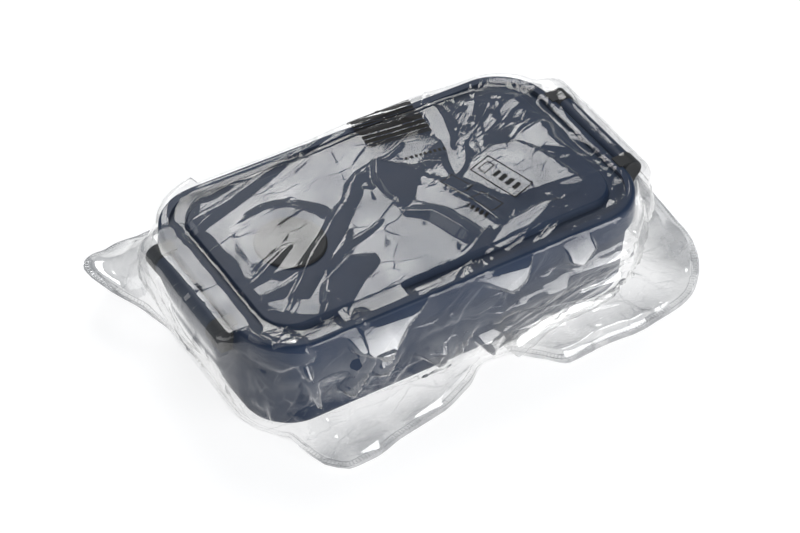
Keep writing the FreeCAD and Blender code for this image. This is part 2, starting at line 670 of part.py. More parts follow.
def upper_rings():
    """The outside of the upper layer, ring by ring from the middle of the lid to the weld."""
    wall = size("film_wall")
    cover = wall + size("film_gap")
    panel_top = size("panel_level") + cover
    rim_top = size("rim_level") + cover
    lip_top = size("rim_level") + size("knuckle_lip_height") + cover
    rings = []
    for share in (0.14, 0.30, 0.45, 0.58, 0.69, 0.79, 0.88, 0.95):
        row = []
        for place in range(TURNS):
            x, y, out_x, out_y = round_outline(place / TURNS, size("rim_round") + size("skirt_draft"))
            x, y = x * share, y * share
            past = min(1.0, max(0.0, (share - 0.8) / 0.2))
            level = panel_top + (rim_top + 0.2 - panel_top) * past
            level += (lip_top + 0.2 - level) * over_latch(y) * max(0.0, (abs(x) - 70.0) / 30.0) ** 2
            level += (size("plug_thickness") + 0.2) * over_plug(x, y)
            level += size("crumple_top") * creases(x, y)
            row.append(Vector(x, y, level))
        rings.append(row)
    sections = [section(place) for place in range(TURNS)]
    for number in range(len(sections[0][1])):
        rings.append([])
        for (x0, y0, out_x, out_y), course, weld_out, reach, weld_level in sections:
            out, level = course[number]
            rings[-1].append(Vector(x0 + out_x * out, y0 + out_y * out, level))
    rings.append([])
    for (x0, y0, out_x, out_y), course, weld_out, reach, weld_level in sections:
        rings[-1].append(Vector(x0 + out_x * weld_out, y0 + out_y * weld_out, weld_level + wall))
    return rings


def lower_rings(wall):
    """The underside of the lower layer, ring by ring from the weld to the middle."""
    rings = [[], [], [], []]
    for place in range(TURNS):
        (x0, y0, out_x, out_y), course, weld_out, reach, weld_level = section(place)
        foot_out = min(-size("foot_inset"), weld_out - 0.5)
        level = weld_level - wall
        between = foot_out + (weld_out - foot_out) * 0.6
        for ring, out, height in ((0, weld_out, level), (1, between, level * 0.45), (2, foot_out, 0.0)):
            rings[ring].append(Vector(x0 + out_x * out, y0 + out_y * out, height))
        rings[3].append(Vector(x0 * 0.5, y0 * 0.5, 0.0))
    return rings


def hem_ring(wall, share):
    """The bag's outer edge, at a share of the weld's thickness."""
    row = []
    for place in range(TURNS):
        reach, lift, leave, off = hem_at(place / TURNS)
        x0, y0, out_x, out_y = round_outline(place / TURNS, 0.0)
        row.append(Vector(x0 + out_x * reach, y0 + out_y * reach, max(wall, lift) + wall * share))
    return row


def skin(rings, first_middle, last_middle):
    """Points and triangles of a closed surface: a middle point, rings, and a middle point."""
    points = [first_middle] + [point for row in rings for point in row] + [last_middle]
    facets = []
    for place in range(TURNS):
        after = (place + 1) % TURNS
        facets.append((0, 1 + place, 1 + after))
        for ring in range(len(rings) - 1):
            a, b = 1 + ring * TURNS + place, 1 + ring * TURNS + after
            c, d = a + TURNS, b + TURNS
            if (place + ring) % 2:
                facets += [(a, c, d), (a, d, b)]
            else:
                facets += [(a, c, b), (b, c, d)]
        last = 1 + (len(rings) - 1) * TURNS
        facets.append((last + place, len(points) - 1, last + after))
    return points, facets


def drawn_in(points, facets, depth, count):
    """The first points of a skin, moved inwards by a depth."""
    ways = [Vector(0, 0, 0) for point in points]
    for a, b, c in facets:
        way = (points[b] - points[a]).cross(points[c] - points[a])
        for corner in (a, b, c):
            ways[corner] += way
    moved = []
    for k in range(count):
        way = Vector(ways[k])
        way.normalize()
        moved.append(points[k] - way * depth)
    return moved


def closed_shell(points, facets):
    shape = Part.Shape()
    shape.makeShapeFromMesh((points, facets), 0.0001)
    return shape.Shells[0]


def make_bag():
    wall = size("film_wall")
    upper = upper_rings()
    lower = lower_rings(wall)
    top = Vector(0, 0, upper[0][0].z)
    rings = upper + [hem_ring(wall, share) for share in (0.7, -0.1, -0.9)] + lower
    points, facets = skin(rings, top, Vector(0, 0, 0))
    count = 1 + TURNS * (len(upper) - 1)
    inner = drawn_in(points, facets, wall, count)
    inner_upper = [inner[1 + k * TURNS:1 + (k + 1) * TURNS] for k in range(len(upper) - 1)]
    pinch = []
    for place in range(TURNS):
        outside = upper[-1][place]
        inside = upper[-2][place]
        inward = Vector(inside.x, inside.y, outside.z) - outside
        pinch.append(outside + inward * 0.12 - Vector(0, 0, wall))
    slopes = []
    for near, far in zip(lower[0], lower[1]):
        way = far - near
        slopes.append(max(0.4, math.hypot(way.x, way.y) / way.Length))
    raised = [[point + Vector(0, 0, wall / slope) for point, slope in zip(lower[1], slopes)]]
    raised += [[point + Vector(0, 0, wall) for point in row] for row in lower[2:]]
    inner_points, inner_facets = skin(inner_upper + [pinch] + raised, inner[0], Vector(0, 0, wall))
    outside = Part.Solid(closed_shell(points, facets))
    inside = Part.Solid(closed_shell(inner_points, inner_facets))
    film = outside.cut(inside)
    vent_radius = size("vent_diameter") / 2
    front = Vector(-size("vent_along"), -size("lid_width") / 2 - 8.0, size("vent_level"))
    side = Vector(-size("lid_length") / 2 - 25.0, -size("side_vent_along"), size("side_vent_level"))
    film = film.cut(Part.makeCylinder(vent_radius, 14.0, front, Vector(0, 1, 0)))
    film = film.cut(Part.makeCylinder(vent_radius, 31.0, side, Vector(1, 0, 0)))
    bag = doc.addObject("Part::Feature", "film_bag")
    bag.Label = "film_bag"
    bag.Shape = film
    return bag


# The whole part
solids = [make_container(), make_lid(), make_seal(), make_vent_plug(), make_bag()]
for side_word, side_turned in (("right", False), ("left", True)):
    solids.append(make_flap("latch_flap_" + side_word, side_turned))
    solids.append(make_pin("latch_pin_" + side_word, side_turned))
    for end_word, end_sign in (("front", -1), ("back", 1)):
        sign = -end_sign if side_turned else end_sign
        solids.append(make_knuckle("latch_knuckle_%s_%s" % (side_word, end_word), side_turned, sign))

doc.recompute()
for item in doc.Objects:
    if "Invalid" in item.State or "Error" in item.State:
        raise ValueError("%s could not be worked out: %s" % (item.Label, item.State))
for piece in solids:
    if piece.Shape.isNull() or not piece.Shape.isValid() or len(piece.Shape.Solids) != 1:
        raise ValueError("%s is not one sound solid" % piece.Label)
for piece in solids:
    box = piece.Shape.BoundBox
    print(piece.Label, "%.1f cubic mm" % piece.Shape.Volume)
    print("    from x %.2f, y %.2f, z %.2f" % (box.XMin, box.YMin, box.ZMin))
    print("    to x %.2f, y %.2f, z %.2f" % (box.XMax, box.YMax, box.ZMax))
    piece.Shape.exportStep("parts/%s.step" % piece.Label)
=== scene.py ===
# %% [markdown]
# # A lunch box in its clear bag
# A dark blue lunch box lies on a pale floor in the loose film bag it is packed in. The hard pieces
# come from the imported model, which stays as it is and only gets its finishes here. The film is
# made here, because a thin crumpled sheet is a matter of light more than of solid shape.

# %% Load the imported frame
import math

import bmesh
import bpy
import numpy as np
from mathutils import Matrix, Vector
from mathutils.bvhtree import BVHTree
from mathutils.geometry import delaunay_2d_cdt


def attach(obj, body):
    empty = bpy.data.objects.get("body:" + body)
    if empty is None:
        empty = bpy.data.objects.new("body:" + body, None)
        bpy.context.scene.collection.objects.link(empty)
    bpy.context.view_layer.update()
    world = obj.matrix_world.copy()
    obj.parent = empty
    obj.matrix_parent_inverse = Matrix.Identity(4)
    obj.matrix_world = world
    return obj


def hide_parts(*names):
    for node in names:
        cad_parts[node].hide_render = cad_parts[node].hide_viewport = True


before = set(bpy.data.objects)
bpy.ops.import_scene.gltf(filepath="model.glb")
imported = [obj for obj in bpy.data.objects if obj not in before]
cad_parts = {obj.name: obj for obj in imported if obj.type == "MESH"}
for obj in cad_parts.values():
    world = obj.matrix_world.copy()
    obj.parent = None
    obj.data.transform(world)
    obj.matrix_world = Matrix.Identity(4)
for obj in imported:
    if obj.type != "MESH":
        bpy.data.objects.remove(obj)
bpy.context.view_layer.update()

MM = 0.001


def placed(name, data):
    """A new object with this data, in the scene."""
    piece = bpy.data.objects.new(name, data)
    bpy.context.scene.collection.objects.link(piece)
    return piece


def pointing(way):
    """Cosine and sine of a way in degrees."""
    return math.cos(math.radians(way)), math.sin(math.radians(way))


print("nodes:", sorted(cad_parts))

# %% [markdown]
# ## Camera
# The picture was taken from the front left and from well above, with a long lens. The camera's
# three axes and its place were worked out from the lid's outline. They are written as a matrix,
# so the small roll of the picture is kept too.

# %% Camera
RIGHT = Vector((0.8475, -0.5303, 0.0232)).normalized()
BACK = Vector((-0.4001, -0.6096, 0.6843)).normalized()
UP = BACK.cross(RIGHT).normalized()
EYE = Vector((-0.47281, -0.72261, 0.82487))
SENSOR, FOCAL_PIXELS, PICTURE_PIXELS = 36.0, 2526.6, 800.0

lens = bpy.data.cameras.new("picture_camera")
lens.sensor_width = SENSOR
lens.lens = FOCAL_PIXELS * SENSOR / PICTURE_PIXELS
lens.clip_start = 0.05
camera = placed("picture_camera", lens)
turned = Matrix((RIGHT, UP, BACK)).transposed().to_4x4()
turned.translation = EYE
camera.matrix_world = turned
bpy.context.scene.camera = camera
print("lens %.1f mm" % lens.lens)

# %% [markdown]
# ## Floor, sky and lamps
# Film shows mostly what it mirrors. One wide soft lamp stands behind the box and high up, where
# level film mirrors it towards the camera, so level facets turn pale and tilted ones stay dark.
# The sky is much dimmer and a little blue, and the floor carries on past the picture's edge. A low
# card in front lights the wall's facets, and a weak lamp at the left fills the box's end.

# %% Floor, sky and lamps
TABLE_GREY, TABLE_GLOW = 0.35, 0.80
SKY_COLOUR, SKY_STRENGTH = (0.80, 0.95, 1.15, 1.0), 0.13
FLOOR_HALF, FLOOR_LEVEL = 6.0, -0.0002


def sheet_of_floor(name, half, level):
    mesh = bpy.data.meshes.new(name)
    corners = [(x * half, y * half, level) for x, y in ((-1, -1), (1, -1), (1, 1), (-1, 1))]
    mesh.from_pydata(corners, [], [(0, 1, 2, 3)])
    return placed(name, mesh)


def lit_table(name):
    """A white table with a light under it, so that shadows stay pale."""
    table = bpy.data.materials.new(name)
    table.use_nodes = True
    shader = table.node_tree.nodes["Principled BSDF"]
    values = {
        "Base Color": (TABLE_GREY, TABLE_GREY, TABLE_GREY, 1.0), "Roughness": 0.9,
        "Specular IOR Level": 0.0, "Emission Color": (1.0, 1.0, 1.0, 1.0),
        "Emission Strength": TABLE_GLOW}
    for key, value in values.items():
        shader.inputs[key].default_value = value
    return table


def soft_lamp(name, place, target, width, height, watts):
    lamp = bpy.data.lights.new(name, "AREA")
    lamp.shape = "RECTANGLE"
    lamp.size = width
    lamp.size_y = height
    lamp.energy = watts
    stand = placed(name, lamp)
    stand.location = place
    stand.rotation_euler = (Vector(target) - Vector(place)).to_track_quat("-Z", "Y").to_euler()


floor = sheet_of_floor("floor", FLOOR_HALF, FLOOR_LEVEL)
floor.data.materials.append(lit_table("white_table"))
soft_lamp("softbox", (0.35, 0.98, 1.05), (0.0, 0.0, 0.05), 0.58, 0.8, 11.0)
soft_lamp("front_card", (0.45, -1.35, 0.50), (0.0, -0.05, 0.03), 1.4, 0.9, 20.0)
soft_lamp("left_fill", (-1.6, 0.4, 1.5), (0.0, 0.0, 0.0), 1.6, 1.6, 8.0)

sky = bpy.data.worlds.new("pale_sky")
bpy.context.scene.world = sky
sky.use_nodes = True
background = sky.node_tree.nodes["Background"]
background.inputs["Color"].default_value = SKY_COLOUR
background.inputs["Strength"].default_value = SKY_STRENGTH
bpy.context.scene.view_settings.view_transform = "Standard"
bpy.context.scene.view_settings.look = "None"

# %% [markdown]
# ## A way to write finishes
# A finish is a net of nodes. Drawing it node by node is hard to read, so one small class wraps an
# output and gives it the usual signs: mask * 0.5 + 0.2 makes two Math nodes. A second class holds
# one material and makes any other node with one call.

# %% Wires and finishes
class Wire:
    """One output of a node, which can be added, multiplied and compared."""

    def __init__(self, finish, socket):
        self.finish = finish
        self.socket = socket

    def maths(self, operation, *others):
        return self.finish.node("ShaderNodeMath", {"operation": operation}, [self, *others])

    def __add__(self, other):
        return self.maths("ADD", other)

    def __sub__(self, other):
        return self.maths("SUBTRACT", other)

    def __rsub__(self, other):
        return self.finish.node("ShaderNodeMath", {"operation": "SUBTRACT"}, [other, self])

    def __mul__(self, other):
        return self.maths("MULTIPLY", other)

    def __pow__(self, other):
        return self.maths("POWER", other)

    def __lt__(self, other):
        return self.maths("LESS_THAN", other)

    def __gt__(self, other):
        return self.maths("GREATER_THAN", other)

    __radd__ = __add__

    def size(self):
        return self.maths("ABSOLUTE")

    def held(self):
        """Kept from 0 to 1."""
        return self.finish.node("ShaderNodeClamp", {}, [self, 0.0, 1.0])

    def stretched(self, low, high, new_low=0.0, new_high=1.0):
        """Spread from one range to another, and held at its ends."""
        return self.finish.node("ShaderNodeMapRange", {}, [self, low, high, new_low, new_high])


class Finish:
    """One material, built from calls."""

    def __init__(self, name):
        self.material = bpy.data.materials.new(name)
        self.material.use_nodes = True
        self.tree = self.material.node_tree
        self.tree.nodes.clear()
        self.end = self.tree.nodes.new("ShaderNodeOutputMaterial")

    def node(self, kind, settings, values=(), out=0):
        made = self.tree.nodes.new(kind)
        for key, value in settings.items():
            setattr(made, key, value)
        pairs = values.items() if isinstance(values, dict) else enumerate(values)
        for key, value in pairs:
            if isinstance(value, Wire):
                self.tree.links.new(value.socket, made.inputs[key])
            else:
                made.inputs[key].default_value = value
        return Wire(self, made.outputs[out])

    def place(self):
        """Object coordinates, in metres."""
        return self.node("ShaderNodeTexCoord", {}, (), "Object")

    def parts_of(self, vector):
        split = self.node("ShaderNodeSeparateXYZ", {}, [vector])
        return [Wire(self, split.socket.node.outputs[k]) for k in range(3)]

    def noise(self, where, scale, detail=3.0, rough=0.5):
        values = {"Vector": where, "Scale": scale, "Detail": detail, "Roughness": rough}
        return self.node("ShaderNodeTexNoise", {}, values)

    def blend(self, share, first, second):
        """A mix of two colours."""
        settings = {"data_type": "RGBA", "clamp_factor": True}
        return self.node("ShaderNodeMix", settings, {0: share, 6: first, 7: second}, 2)

    def bump(self, height, depth, strength=1.0, after=None):
        values = {"Height": height, "Distance": depth, "Strength": strength}
        if after is not None:
            values["Normal"] = after
        return self.node("ShaderNodeBump", {}, values)

    def plain_surface(self, values):
        """Ends the net in one Principled shader and returns the material."""
        shader = self.node("ShaderNodeBsdfPrincipled", {}, values)
        self.tree.links.new(shader.socket, self.end.inputs["Surface"])
        return self.material


print("finishes are written with Wire and Finish")

# %% [markdown]
# ## Finishes of the hard pieces
# The box is moulded in dark blue plastic with a very fine satin grain and a few rubbed places.
# The knuckles and the plug are soft black rubber, the seal is pale silicone, the pins are drawn
# steel. Each gets its grain from noise in object coordinates, at the size of the real grain.

# %% Hard finishes
def moulded_plastic(name, deep, pale):
    finish = Finish(name)
    where = finish.place()
    cloud = finish.noise(where, 38.0, 3.0)
    rub = finish.noise(where, 140.0, 5.0, 0.65).stretched(0.56, 0.72)
    colour = finish.blend(cloud.stretched(0.35, 0.7) * 0.8 + rub * 0.2, deep, pale)
    grain = finish.bump(finish.noise(where, 2600.0, 2.0), 0.00002, 0.5)
    wave = finish.bump(finish.noise(where, 22.0, 1.0), 0.0004, 0.2, grain)
    rough = 0.44 + rub * 0.08 + cloud * 0.06
    return finish.plain_surface({
        "Base Color": colour, "Roughness": rough, "Specular IOR Level": 0.24, "Normal": wave})


def soft_rubber(name, deep, pale, rough):
    finish = Finish(name)
    where = finish.place()
    dust = finish.noise(where, 420.0, 4.0, 0.7).stretched(0.5, 0.75)
    colour = finish.blend(dust * 0.6 + finish.noise(where, 60.0, 2.0) * 0.4, deep, pale)
    pores = finish.bump(finish.noise(where, 1800.0, 3.0), 0.00004, 0.7)
    rough = rough + dust * 0.12
    return finish.plain_surface({
        "Base Color": colour, "Roughness": rough, "Specular IOR Level": 0.3, "Normal": pores})


def drawn_steel(name):
    finish = Finish(name)
    where = finish.place()
    x, y, z = finish.parts_of(where)
    lines = finish.node("ShaderNodeCombineXYZ", {}, [x * 3000.0, y * 60.0, z * 3000.0])
    streak = finish.noise(lines, 1.0, 2.0)
    colour = finish.blend(streak, (0.50, 0.50, 0.49, 1.0), (0.66, 0.66, 0.65, 1.0))
    lined = finish.bump(streak, 0.00001, 0.4)
    rough = 0.24 + streak * 0.14
    return finish.plain_surface({
        "Base Color": colour, "Metallic": 1.0, "Roughness": rough, "Normal": lined})


navy_lower = moulded_plastic(
    "navy_container_plastic", (0.004, 0.015, 0.043, 1), (0.0065, 0.021, 0.056, 1))
navy_upper = moulded_plastic(
    "navy_lid_plastic", (0.0042, 0.016, 0.046, 1), (0.007, 0.0225, 0.060, 1))
black_rubber = soft_rubber(
    "black_latch_rubber", (0.005, 0.005, 0.0055, 1), (0.011, 0.011, 0.012, 1), 0.52)
plug_rubber = soft_rubber(
    "black_plug_rubber", (0.006, 0.006, 0.0065, 1), (0.013, 0.0125, 0.012, 1), 0.58)
seal_silicone = soft_rubber(
    "pale_seal_silicone", (0.36, 0.36, 0.35, 1), (0.45, 0.45, 0.44, 1), 0.45)
pin_steel = drawn_steel("pin_steel")

DRESS = {
    "container": navy_lower, "lid": navy_upper, "lid_seal": seal_silicone, "vent_plug": plug_rubber,
    "latch_flap_left": navy_lower, "latch_flap_right": navy_lower,
    "latch_pin_left": pin_steel, "latch_pin_right": pin_steel,
}
for name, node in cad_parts.items():
    if name == "film_bag":
        continue
    finish = DRESS.get(name, black_rubber)
    for slot in node.material_slots:
        slot.material = finish
    if not node.material_slots:
        node.data.materials.append(finish)
print("dressed", len(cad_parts) - 1, "hard pieces")

# %% [markdown]
# ## The film's course
# The bag is two layers of film welded all round. The upper layer lies on the lid, turns down over
# its rim and leaves the box's side lower down to run out to the weld, which lies on the floor.
# The lid's outline is followed in turns from 0 to 1. At each turn four numbers say how the film
# runs: how far out the weld lies, how high it stands, how high the film leaves the side, and how
# far it stands off there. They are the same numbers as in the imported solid.

# %% Outline of the lid and the hem's places
LID_LENGTH, LID_WIDTH, LID_CORNER = 210.0, 119.0, 28.0
SKIRT_LEAN, RIM_ROUND = 0.7, 1.8
SEAM, RIM, PANEL = 41.6, 54.2, 55.2
PLUG_X, PLUG_Y, PLUG_RADIUS, PLUG_TALL = -57.0, 1.0, 16.6, 1.4
PIVOT_OUT, PIVOT, KNUCKLE, LATCH_HALF = 4.0, 49.2, 5.6, 32.0
COVER, WELD = 0.75, 4.0
LIP_INSET, LIP, CONTAINER, TAPER = 2.5, 47.4, 47.0, 2.0
DIAGONAL = 0.71
# Each row: a turn and its four numbers
HEM = np.array([
    (0.000, 40, 0.4, 9, 7), (0.040, 42, 0.4, 14, 12), (0.062, 47, 0.8, 24, 17),
    (0.079, 45, 0.4, 26, 18), (0.114, 33, 0.4, 26, 16), (0.168, 35, 0.4, 27, 17),
    (0.234, 37, 0.4, 25, 16), (0.299, 37, 0.4, 24, 15), (0.348, 34, 2, 24, 13),
    (0.387, 30, 7, 26, 9), (0.405, 32, 14, 28, 7), (0.419, 36, 21, 30, 6),
    (0.430, 25, 19, 28, 4), (0.442, 10, 12, 22, 2), (0.461, 2, 4.5, 12, 1.2),
    (0.500, 0.3, 1, 6, 1), (0.549, 0.1, 0.4, 6, 1), (0.583, 0.3, 0.4, 7, 1),
    (0.600, 3.5, 0.4, 12, 1), (0.609, 13, 0.8, 17, 1), (0.616, 24, 2, 18, 1),
    (0.623, 30, 3, 16, 1), (0.640, 29, 2, 12, 1), (0.668, 24, 0.8, 7, 1),
    (0.711, 19.5, 0.4, 4.5, 1), (0.740, 12.5, 0.4, 4, 1), (0.765, 3.5, 0.4, 3.6, 1),
    (0.783, 4.5, 0.6, 4, 1.2), (0.802, 15, 1.2, 6, 1.6), (0.818, 24.5, 2, 8, 2),
    (0.852, 22.5, 0.8, 10, 3), (0.887, 24, 0.8, 11, 4), (0.916, 33, 0.6, 10, 5),
    (0.937, 37, 0.4, 9, 6),
])


def lid_outline(turn):
    """The place on the lid's lower edge at a turn, and the way out of it."""
    r = LID_CORNER
    a, b = LID_LENGTH / 2 - r, LID_WIDTH / 2 - r
    quarter = math.pi * r / 2
    lengths = [b, quarter, 2 * a, quarter, 2 * b, quarter, 2 * a, quarter, b]
    ways = [0, 0, 90, 90, 180, 180, 270, 270, 0]
    middles = {0: (a, b), 90: (-a, b), 180: (-a, -b), 270: (a, -b)}
    starts = {0: (a + r, 0.0), 90: (a, b + r), 180: (-a - r, b), 270: (-a, -b - r)}
    left = (turn % 1.0) * sum(lengths)
    for number, (length, way) in enumerate(zip(lengths, ways)):
        if left <= length or number == len(lengths) - 1:
            break
        left -= length
    if number % 2:
        angle = math.radians(way) + left / r
        x, y = middles[way]
        return x + r * math.cos(angle), y + r * math.sin(angle), math.cos(angle), math.sin(angle)
    out_x, out_y = pointing(way)
    x, y = starts[way] if number < 8 else (a + r, -b)
    return x - out_y * left, y + out_x * left, out_x, out_y


def hem_at(turn):
    """The hem's four values at any turn, on a smooth closed curve."""
    turn = turn % 1.0
    count = len(HEM)
    k = max(index for index in range(count) if HEM[index, 0] <= turn + 1e-12)
    p0, p1, p2, p3 = (HEM[(k + step) % count] for step in (-1, 0, 1, 2))
    end = p2[0] if p2[0] > p1[0] else p2[0] + 1.0
    t = (turn - p1[0]) / (end - p1[0])
    values = []
    for c in (1, 2, 3, 4):
        d0, d1, d2 = p1[c] - p0[c], p2[c] - p1[c], p3[c] - p2[c]
        m1, m2 = (0.0 if d * d1 <= 0 else min(abs(d), abs(d1)) * math.copysign(1, d1)
                  for d in (d0, d2))
        values.append((2 * t**3 - 3 * t * t + 1) * p1[c] + (t**3 - 2 * t * t + t) * m1
                      + (3 * t * t - 2 * t**3) * p2[c] + (t**3 - t * t) * m2)
    return values


def eased(value):
    value = min(1.0, max(0.0, value))
    return value * value * (3.0 - 2.0 * value)


def over_latch(y):
    """1 beside a latch, falling to 0 past its ends."""
    return 1.0 - eased((abs(y) - LATCH_HALF - 2.0) / 9.0)


def over_plug(x, y):
    """1 over the vent plug, falling to 0 past its edge."""
    return 1.0 - eased((math.hypot(x - PLUG_X, y - PLUG_Y) - PLUG_RADIUS - 1.0) / 12.0)


def course_at(turn):
    """The film's course down the side at one turn: distances out of the lid's edge and heights."""
    reach, lift, leave, off = hem_at(turn)
    x0, y0, out_x, out_y = lid_outline(turn)
    at_end = abs(x0) > LID_LENGTH / 2 - LID_CORNER
    beside = over_latch(y0) if at_end else 0.0
    edge = (RIM_ROUND + COVER) * 1.04
    round_out, round_level = -SKIRT_LEAN - RIM_ROUND, RIM - RIM_ROUND
    knuckle = (KNUCKLE + COVER) * 1.05
    low, waist = min(leave, SEAM - 12.0), SEAM - 4.0
    plain = [(round_out, round_level + edge),
             (round_out + edge * DIAGONAL, round_level + edge * DIAGONAL),
             (round_out + edge, round_level), (COVER, (RIM + SEAM) / 2), (COVER + 0.2, SEAM),
             (COVER + 0.2, waist)]
    latch = [(1.0, PIVOT + knuckle - 0.3), (PIVOT_OUT, PIVOT + knuckle),
             (PIVOT_OUT + knuckle * DIAGONAL, PIVOT + knuckle * DIAGONAL),
             (PIVOT_OUT + knuckle, PIVOT), (PIVOT_OUT + knuckle * 0.8, SEAM + 1.0),
             (PIVOT_OUT + 4.5, waist)]
    course = []
    for number, (flat, raised) in enumerate(zip(plain, latch)):
        share = min(1.0, max(0.0, (number - 2) / 3.0))
        out = flat[0] + (raised[0] - flat[0]) * beside + 0.55 * off * share**2
        course.append((out, flat[1] + (raised[1] - flat[1]) * beside))
    side_out = COVER - LIP_INSET - TAPER * (LIP - low) / CONTAINER
    side_out += max(0.0, off - 0.75) + 0.5 * max(0.0, course[-1][0] - side_out) * low / waist
    between = (course[-1][0] + side_out) / 2 + 0.2 * off
    course.append((between, (waist + low) / 2))
    course.append((side_out, low))
    weld = min(WELD, 0.4 * max(0.8, reach - side_out))
    weld_level = max(0.4, lift)
    for part in (0.25, 0.5, 0.78):
        out = side_out + (reach - weld - side_out) * part
        course.append((out, low + (weld_level + 0.4 - low) * (1 - (1 - part) ** 1.7)))
    course.append((reach - weld, weld_level + 0.4))
    course.append((reach, weld_level + 0.15))
    return course


def smooth_run(points, per_step):
    """Points on a smooth curve through the given ones, a fixed number for each step."""
    p = np.array([points[0], *points, points[-1]], float)
    run = []
    for k in range(1, len(p) - 2):
        for t in np.arange(per_step[k - 1]) / per_step[k - 1]:
            a, b, c, d = p[k - 1], p[k], p[k + 1], p[k + 2]
            run.append(0.5 * (2 * b + (c - a) * t + (2 * a - 5 * b + 4 * c - d) * t * t
                              + (3 * b - a - 3 * c + d) * t**3))
    run.append(p[-2])
    return np.array(run)


TURNS = 560
PER_STEP = (2, 3, 5, 6, 4, 7, 9, 9, 9, 9, 8, 3)
TOP_RINGS = 64
print("the hem has", len(HEM), "places; the film is drawn at", TURNS, "turns")

# %% [markdown]
# ## Creases
# Thin stiff film doesn't bend like cloth. It breaks into flat facets that meet in sharp creases,
# and bundles of creases run out from the places where it is pulled. Two things copy that. A net
# of long triangles with a random height at each corner gives the facets, and folds along drawn
# lines give the long creases: each is a list of places on the flat film with a half width, and
# the folds of a pulled place are such lines too, laid out by a fixed seed. All of it is worked
# out on the film laid flat, where the lid's front wall lies below the lid.

# %% Crease nets and folds
NET_HALF = 190.0


def facet_net(seed, spacing, stretch, way, tall, sharp):
    """A surface of long flat triangles over the flat film; returns a function for its heights."""
    luck = np.random.default_rng(seed)
    count_x = int(2 * NET_HALF / (spacing * stretch)) + 2
    count_y = int(2 * NET_HALF / spacing) + 2
    points, heights = [], []
    for j in range(count_y):
        for i in range(count_x):
            across = i - count_x / 2 + 0.5 * (j % 2) + luck.uniform(-0.42, 0.42)
            x = across * spacing * stretch
            y = (j - count_y / 2 + luck.uniform(-0.42, 0.42)) * spacing
            points.append(Vector((x, y)))
            heights.append(tall * luck.uniform(0, 1) ** sharp)
    made, _, faces, origin, _, _ = delaunay_2d_cdt(points, [], [], 0, 1e-6)
    corners = [Vector((p.x, p.y, heights[origin[k][0]])) for k, p in enumerate(made)]
    tree = BVHTree.FromPolygons(corners, faces)
    cos, sin = pointing(way)
    down = Vector((0, 0, -1))

    def heights_at(places):
        found = np.zeros(len(places))
        for k, (u, v) in enumerate(places):
            at_u, at_v = u * cos + v * sin, v * cos - u * sin
            hit = tree.ray_cast(Vector((at_u, at_v, 100.0)), down)[0]
            if hit is None:
                hit = tree.ray_cast(Vector((at_u + 0.01, at_v + 0.01, 100.0)), down)[0]
            found[k] = hit.z if hit is not None else 0.0
        return found
    return heights_at


def fold_heights(places, folds, slope):
    """Heights of sharp folds along lines, steeper on one side than on the other."""
    total = np.zeros(len(places))
    for line in folds:
        best = np.zeros(len(places))
        for (x0, y0, w0), (x1, y1, w1) in zip(line[:-1], line[1:]):
            way = np.array([x1 - x0, y1 - y0])
            length = max(1e-6, float(np.hypot(*way)))
            way = way / length
            du, dv = places[:, 0] - x0, places[:, 1] - y0
            along = du * way[0] + dv * way[1]
            across = dv * way[0] - du * way[1]
            held = np.clip(along, 0.0, length)
            away = np.hypot(along - held, across)
            width = w0 + (w1 - w0) * held / length
            side = np.where(across > 0, width, width * 0.6)
            best = np.maximum(best, slope * width * np.clip(1.0 - away / side, 0.0, 1.0))
        total = np.maximum(total, best)
    return total


def pulled_place(seed, middle, count, reach, first, last, width):
    """Fold lines that run out from one place where the film is pulled."""
    luck = np.random.default_rng(seed)
    lines = []
    for k in range(count):
        step = k + luck.uniform(-0.35, 0.35)
        way = math.radians(first + (last - first) * step / (count - 1))
        far = reach * luck.uniform(0.35, 1.0)
        bend = luck.uniform(-0.25, 0.25)
        wide = width * luck.uniform(0.4, 1.3)
        line = []
        for part, share in ((0.04, 0.3), (0.35, 1.0), (0.7, 0.8), (1.0, 0.15)):
            turn = way + bend * part
            line.append((middle[0] + math.cos(turn) * far * part,
                         middle[1] + math.sin(turn) * far * part, wide * share))
        lines.append(line)
    return lines


def scattered_folds(seed, count, box, way, spread, length, width):
    """Short folds strewn over an area of the flat film, mostly along one way."""
    luck = np.random.default_rng(seed)
    lines = []
    for k in range(count):
        x, y = luck.uniform(box[0], box[1]), luck.uniform(box[2], box[3])
        turn = math.radians(way + luck.normal(0.0, spread))
        far = length * luck.uniform(0.35, 1.0) / 2
        wide = width * luck.uniform(0.3, 1.0) ** 1.5
        bend = luck.uniform(-0.2, 0.2)
        line = []
        for part, share in ((-1.0, 0.1), (-0.4, 0.8), (0.2, 1.0), (1.0, 0.1)):
            side = bend * far * (1.0 - part * part)
            line.append((x + math.cos(turn) * far * part - math.sin(turn) * side,
                         y + math.sin(turn) * far * part + math.cos(turn) * side, wide * share))
        lines.append(line)
    return lines


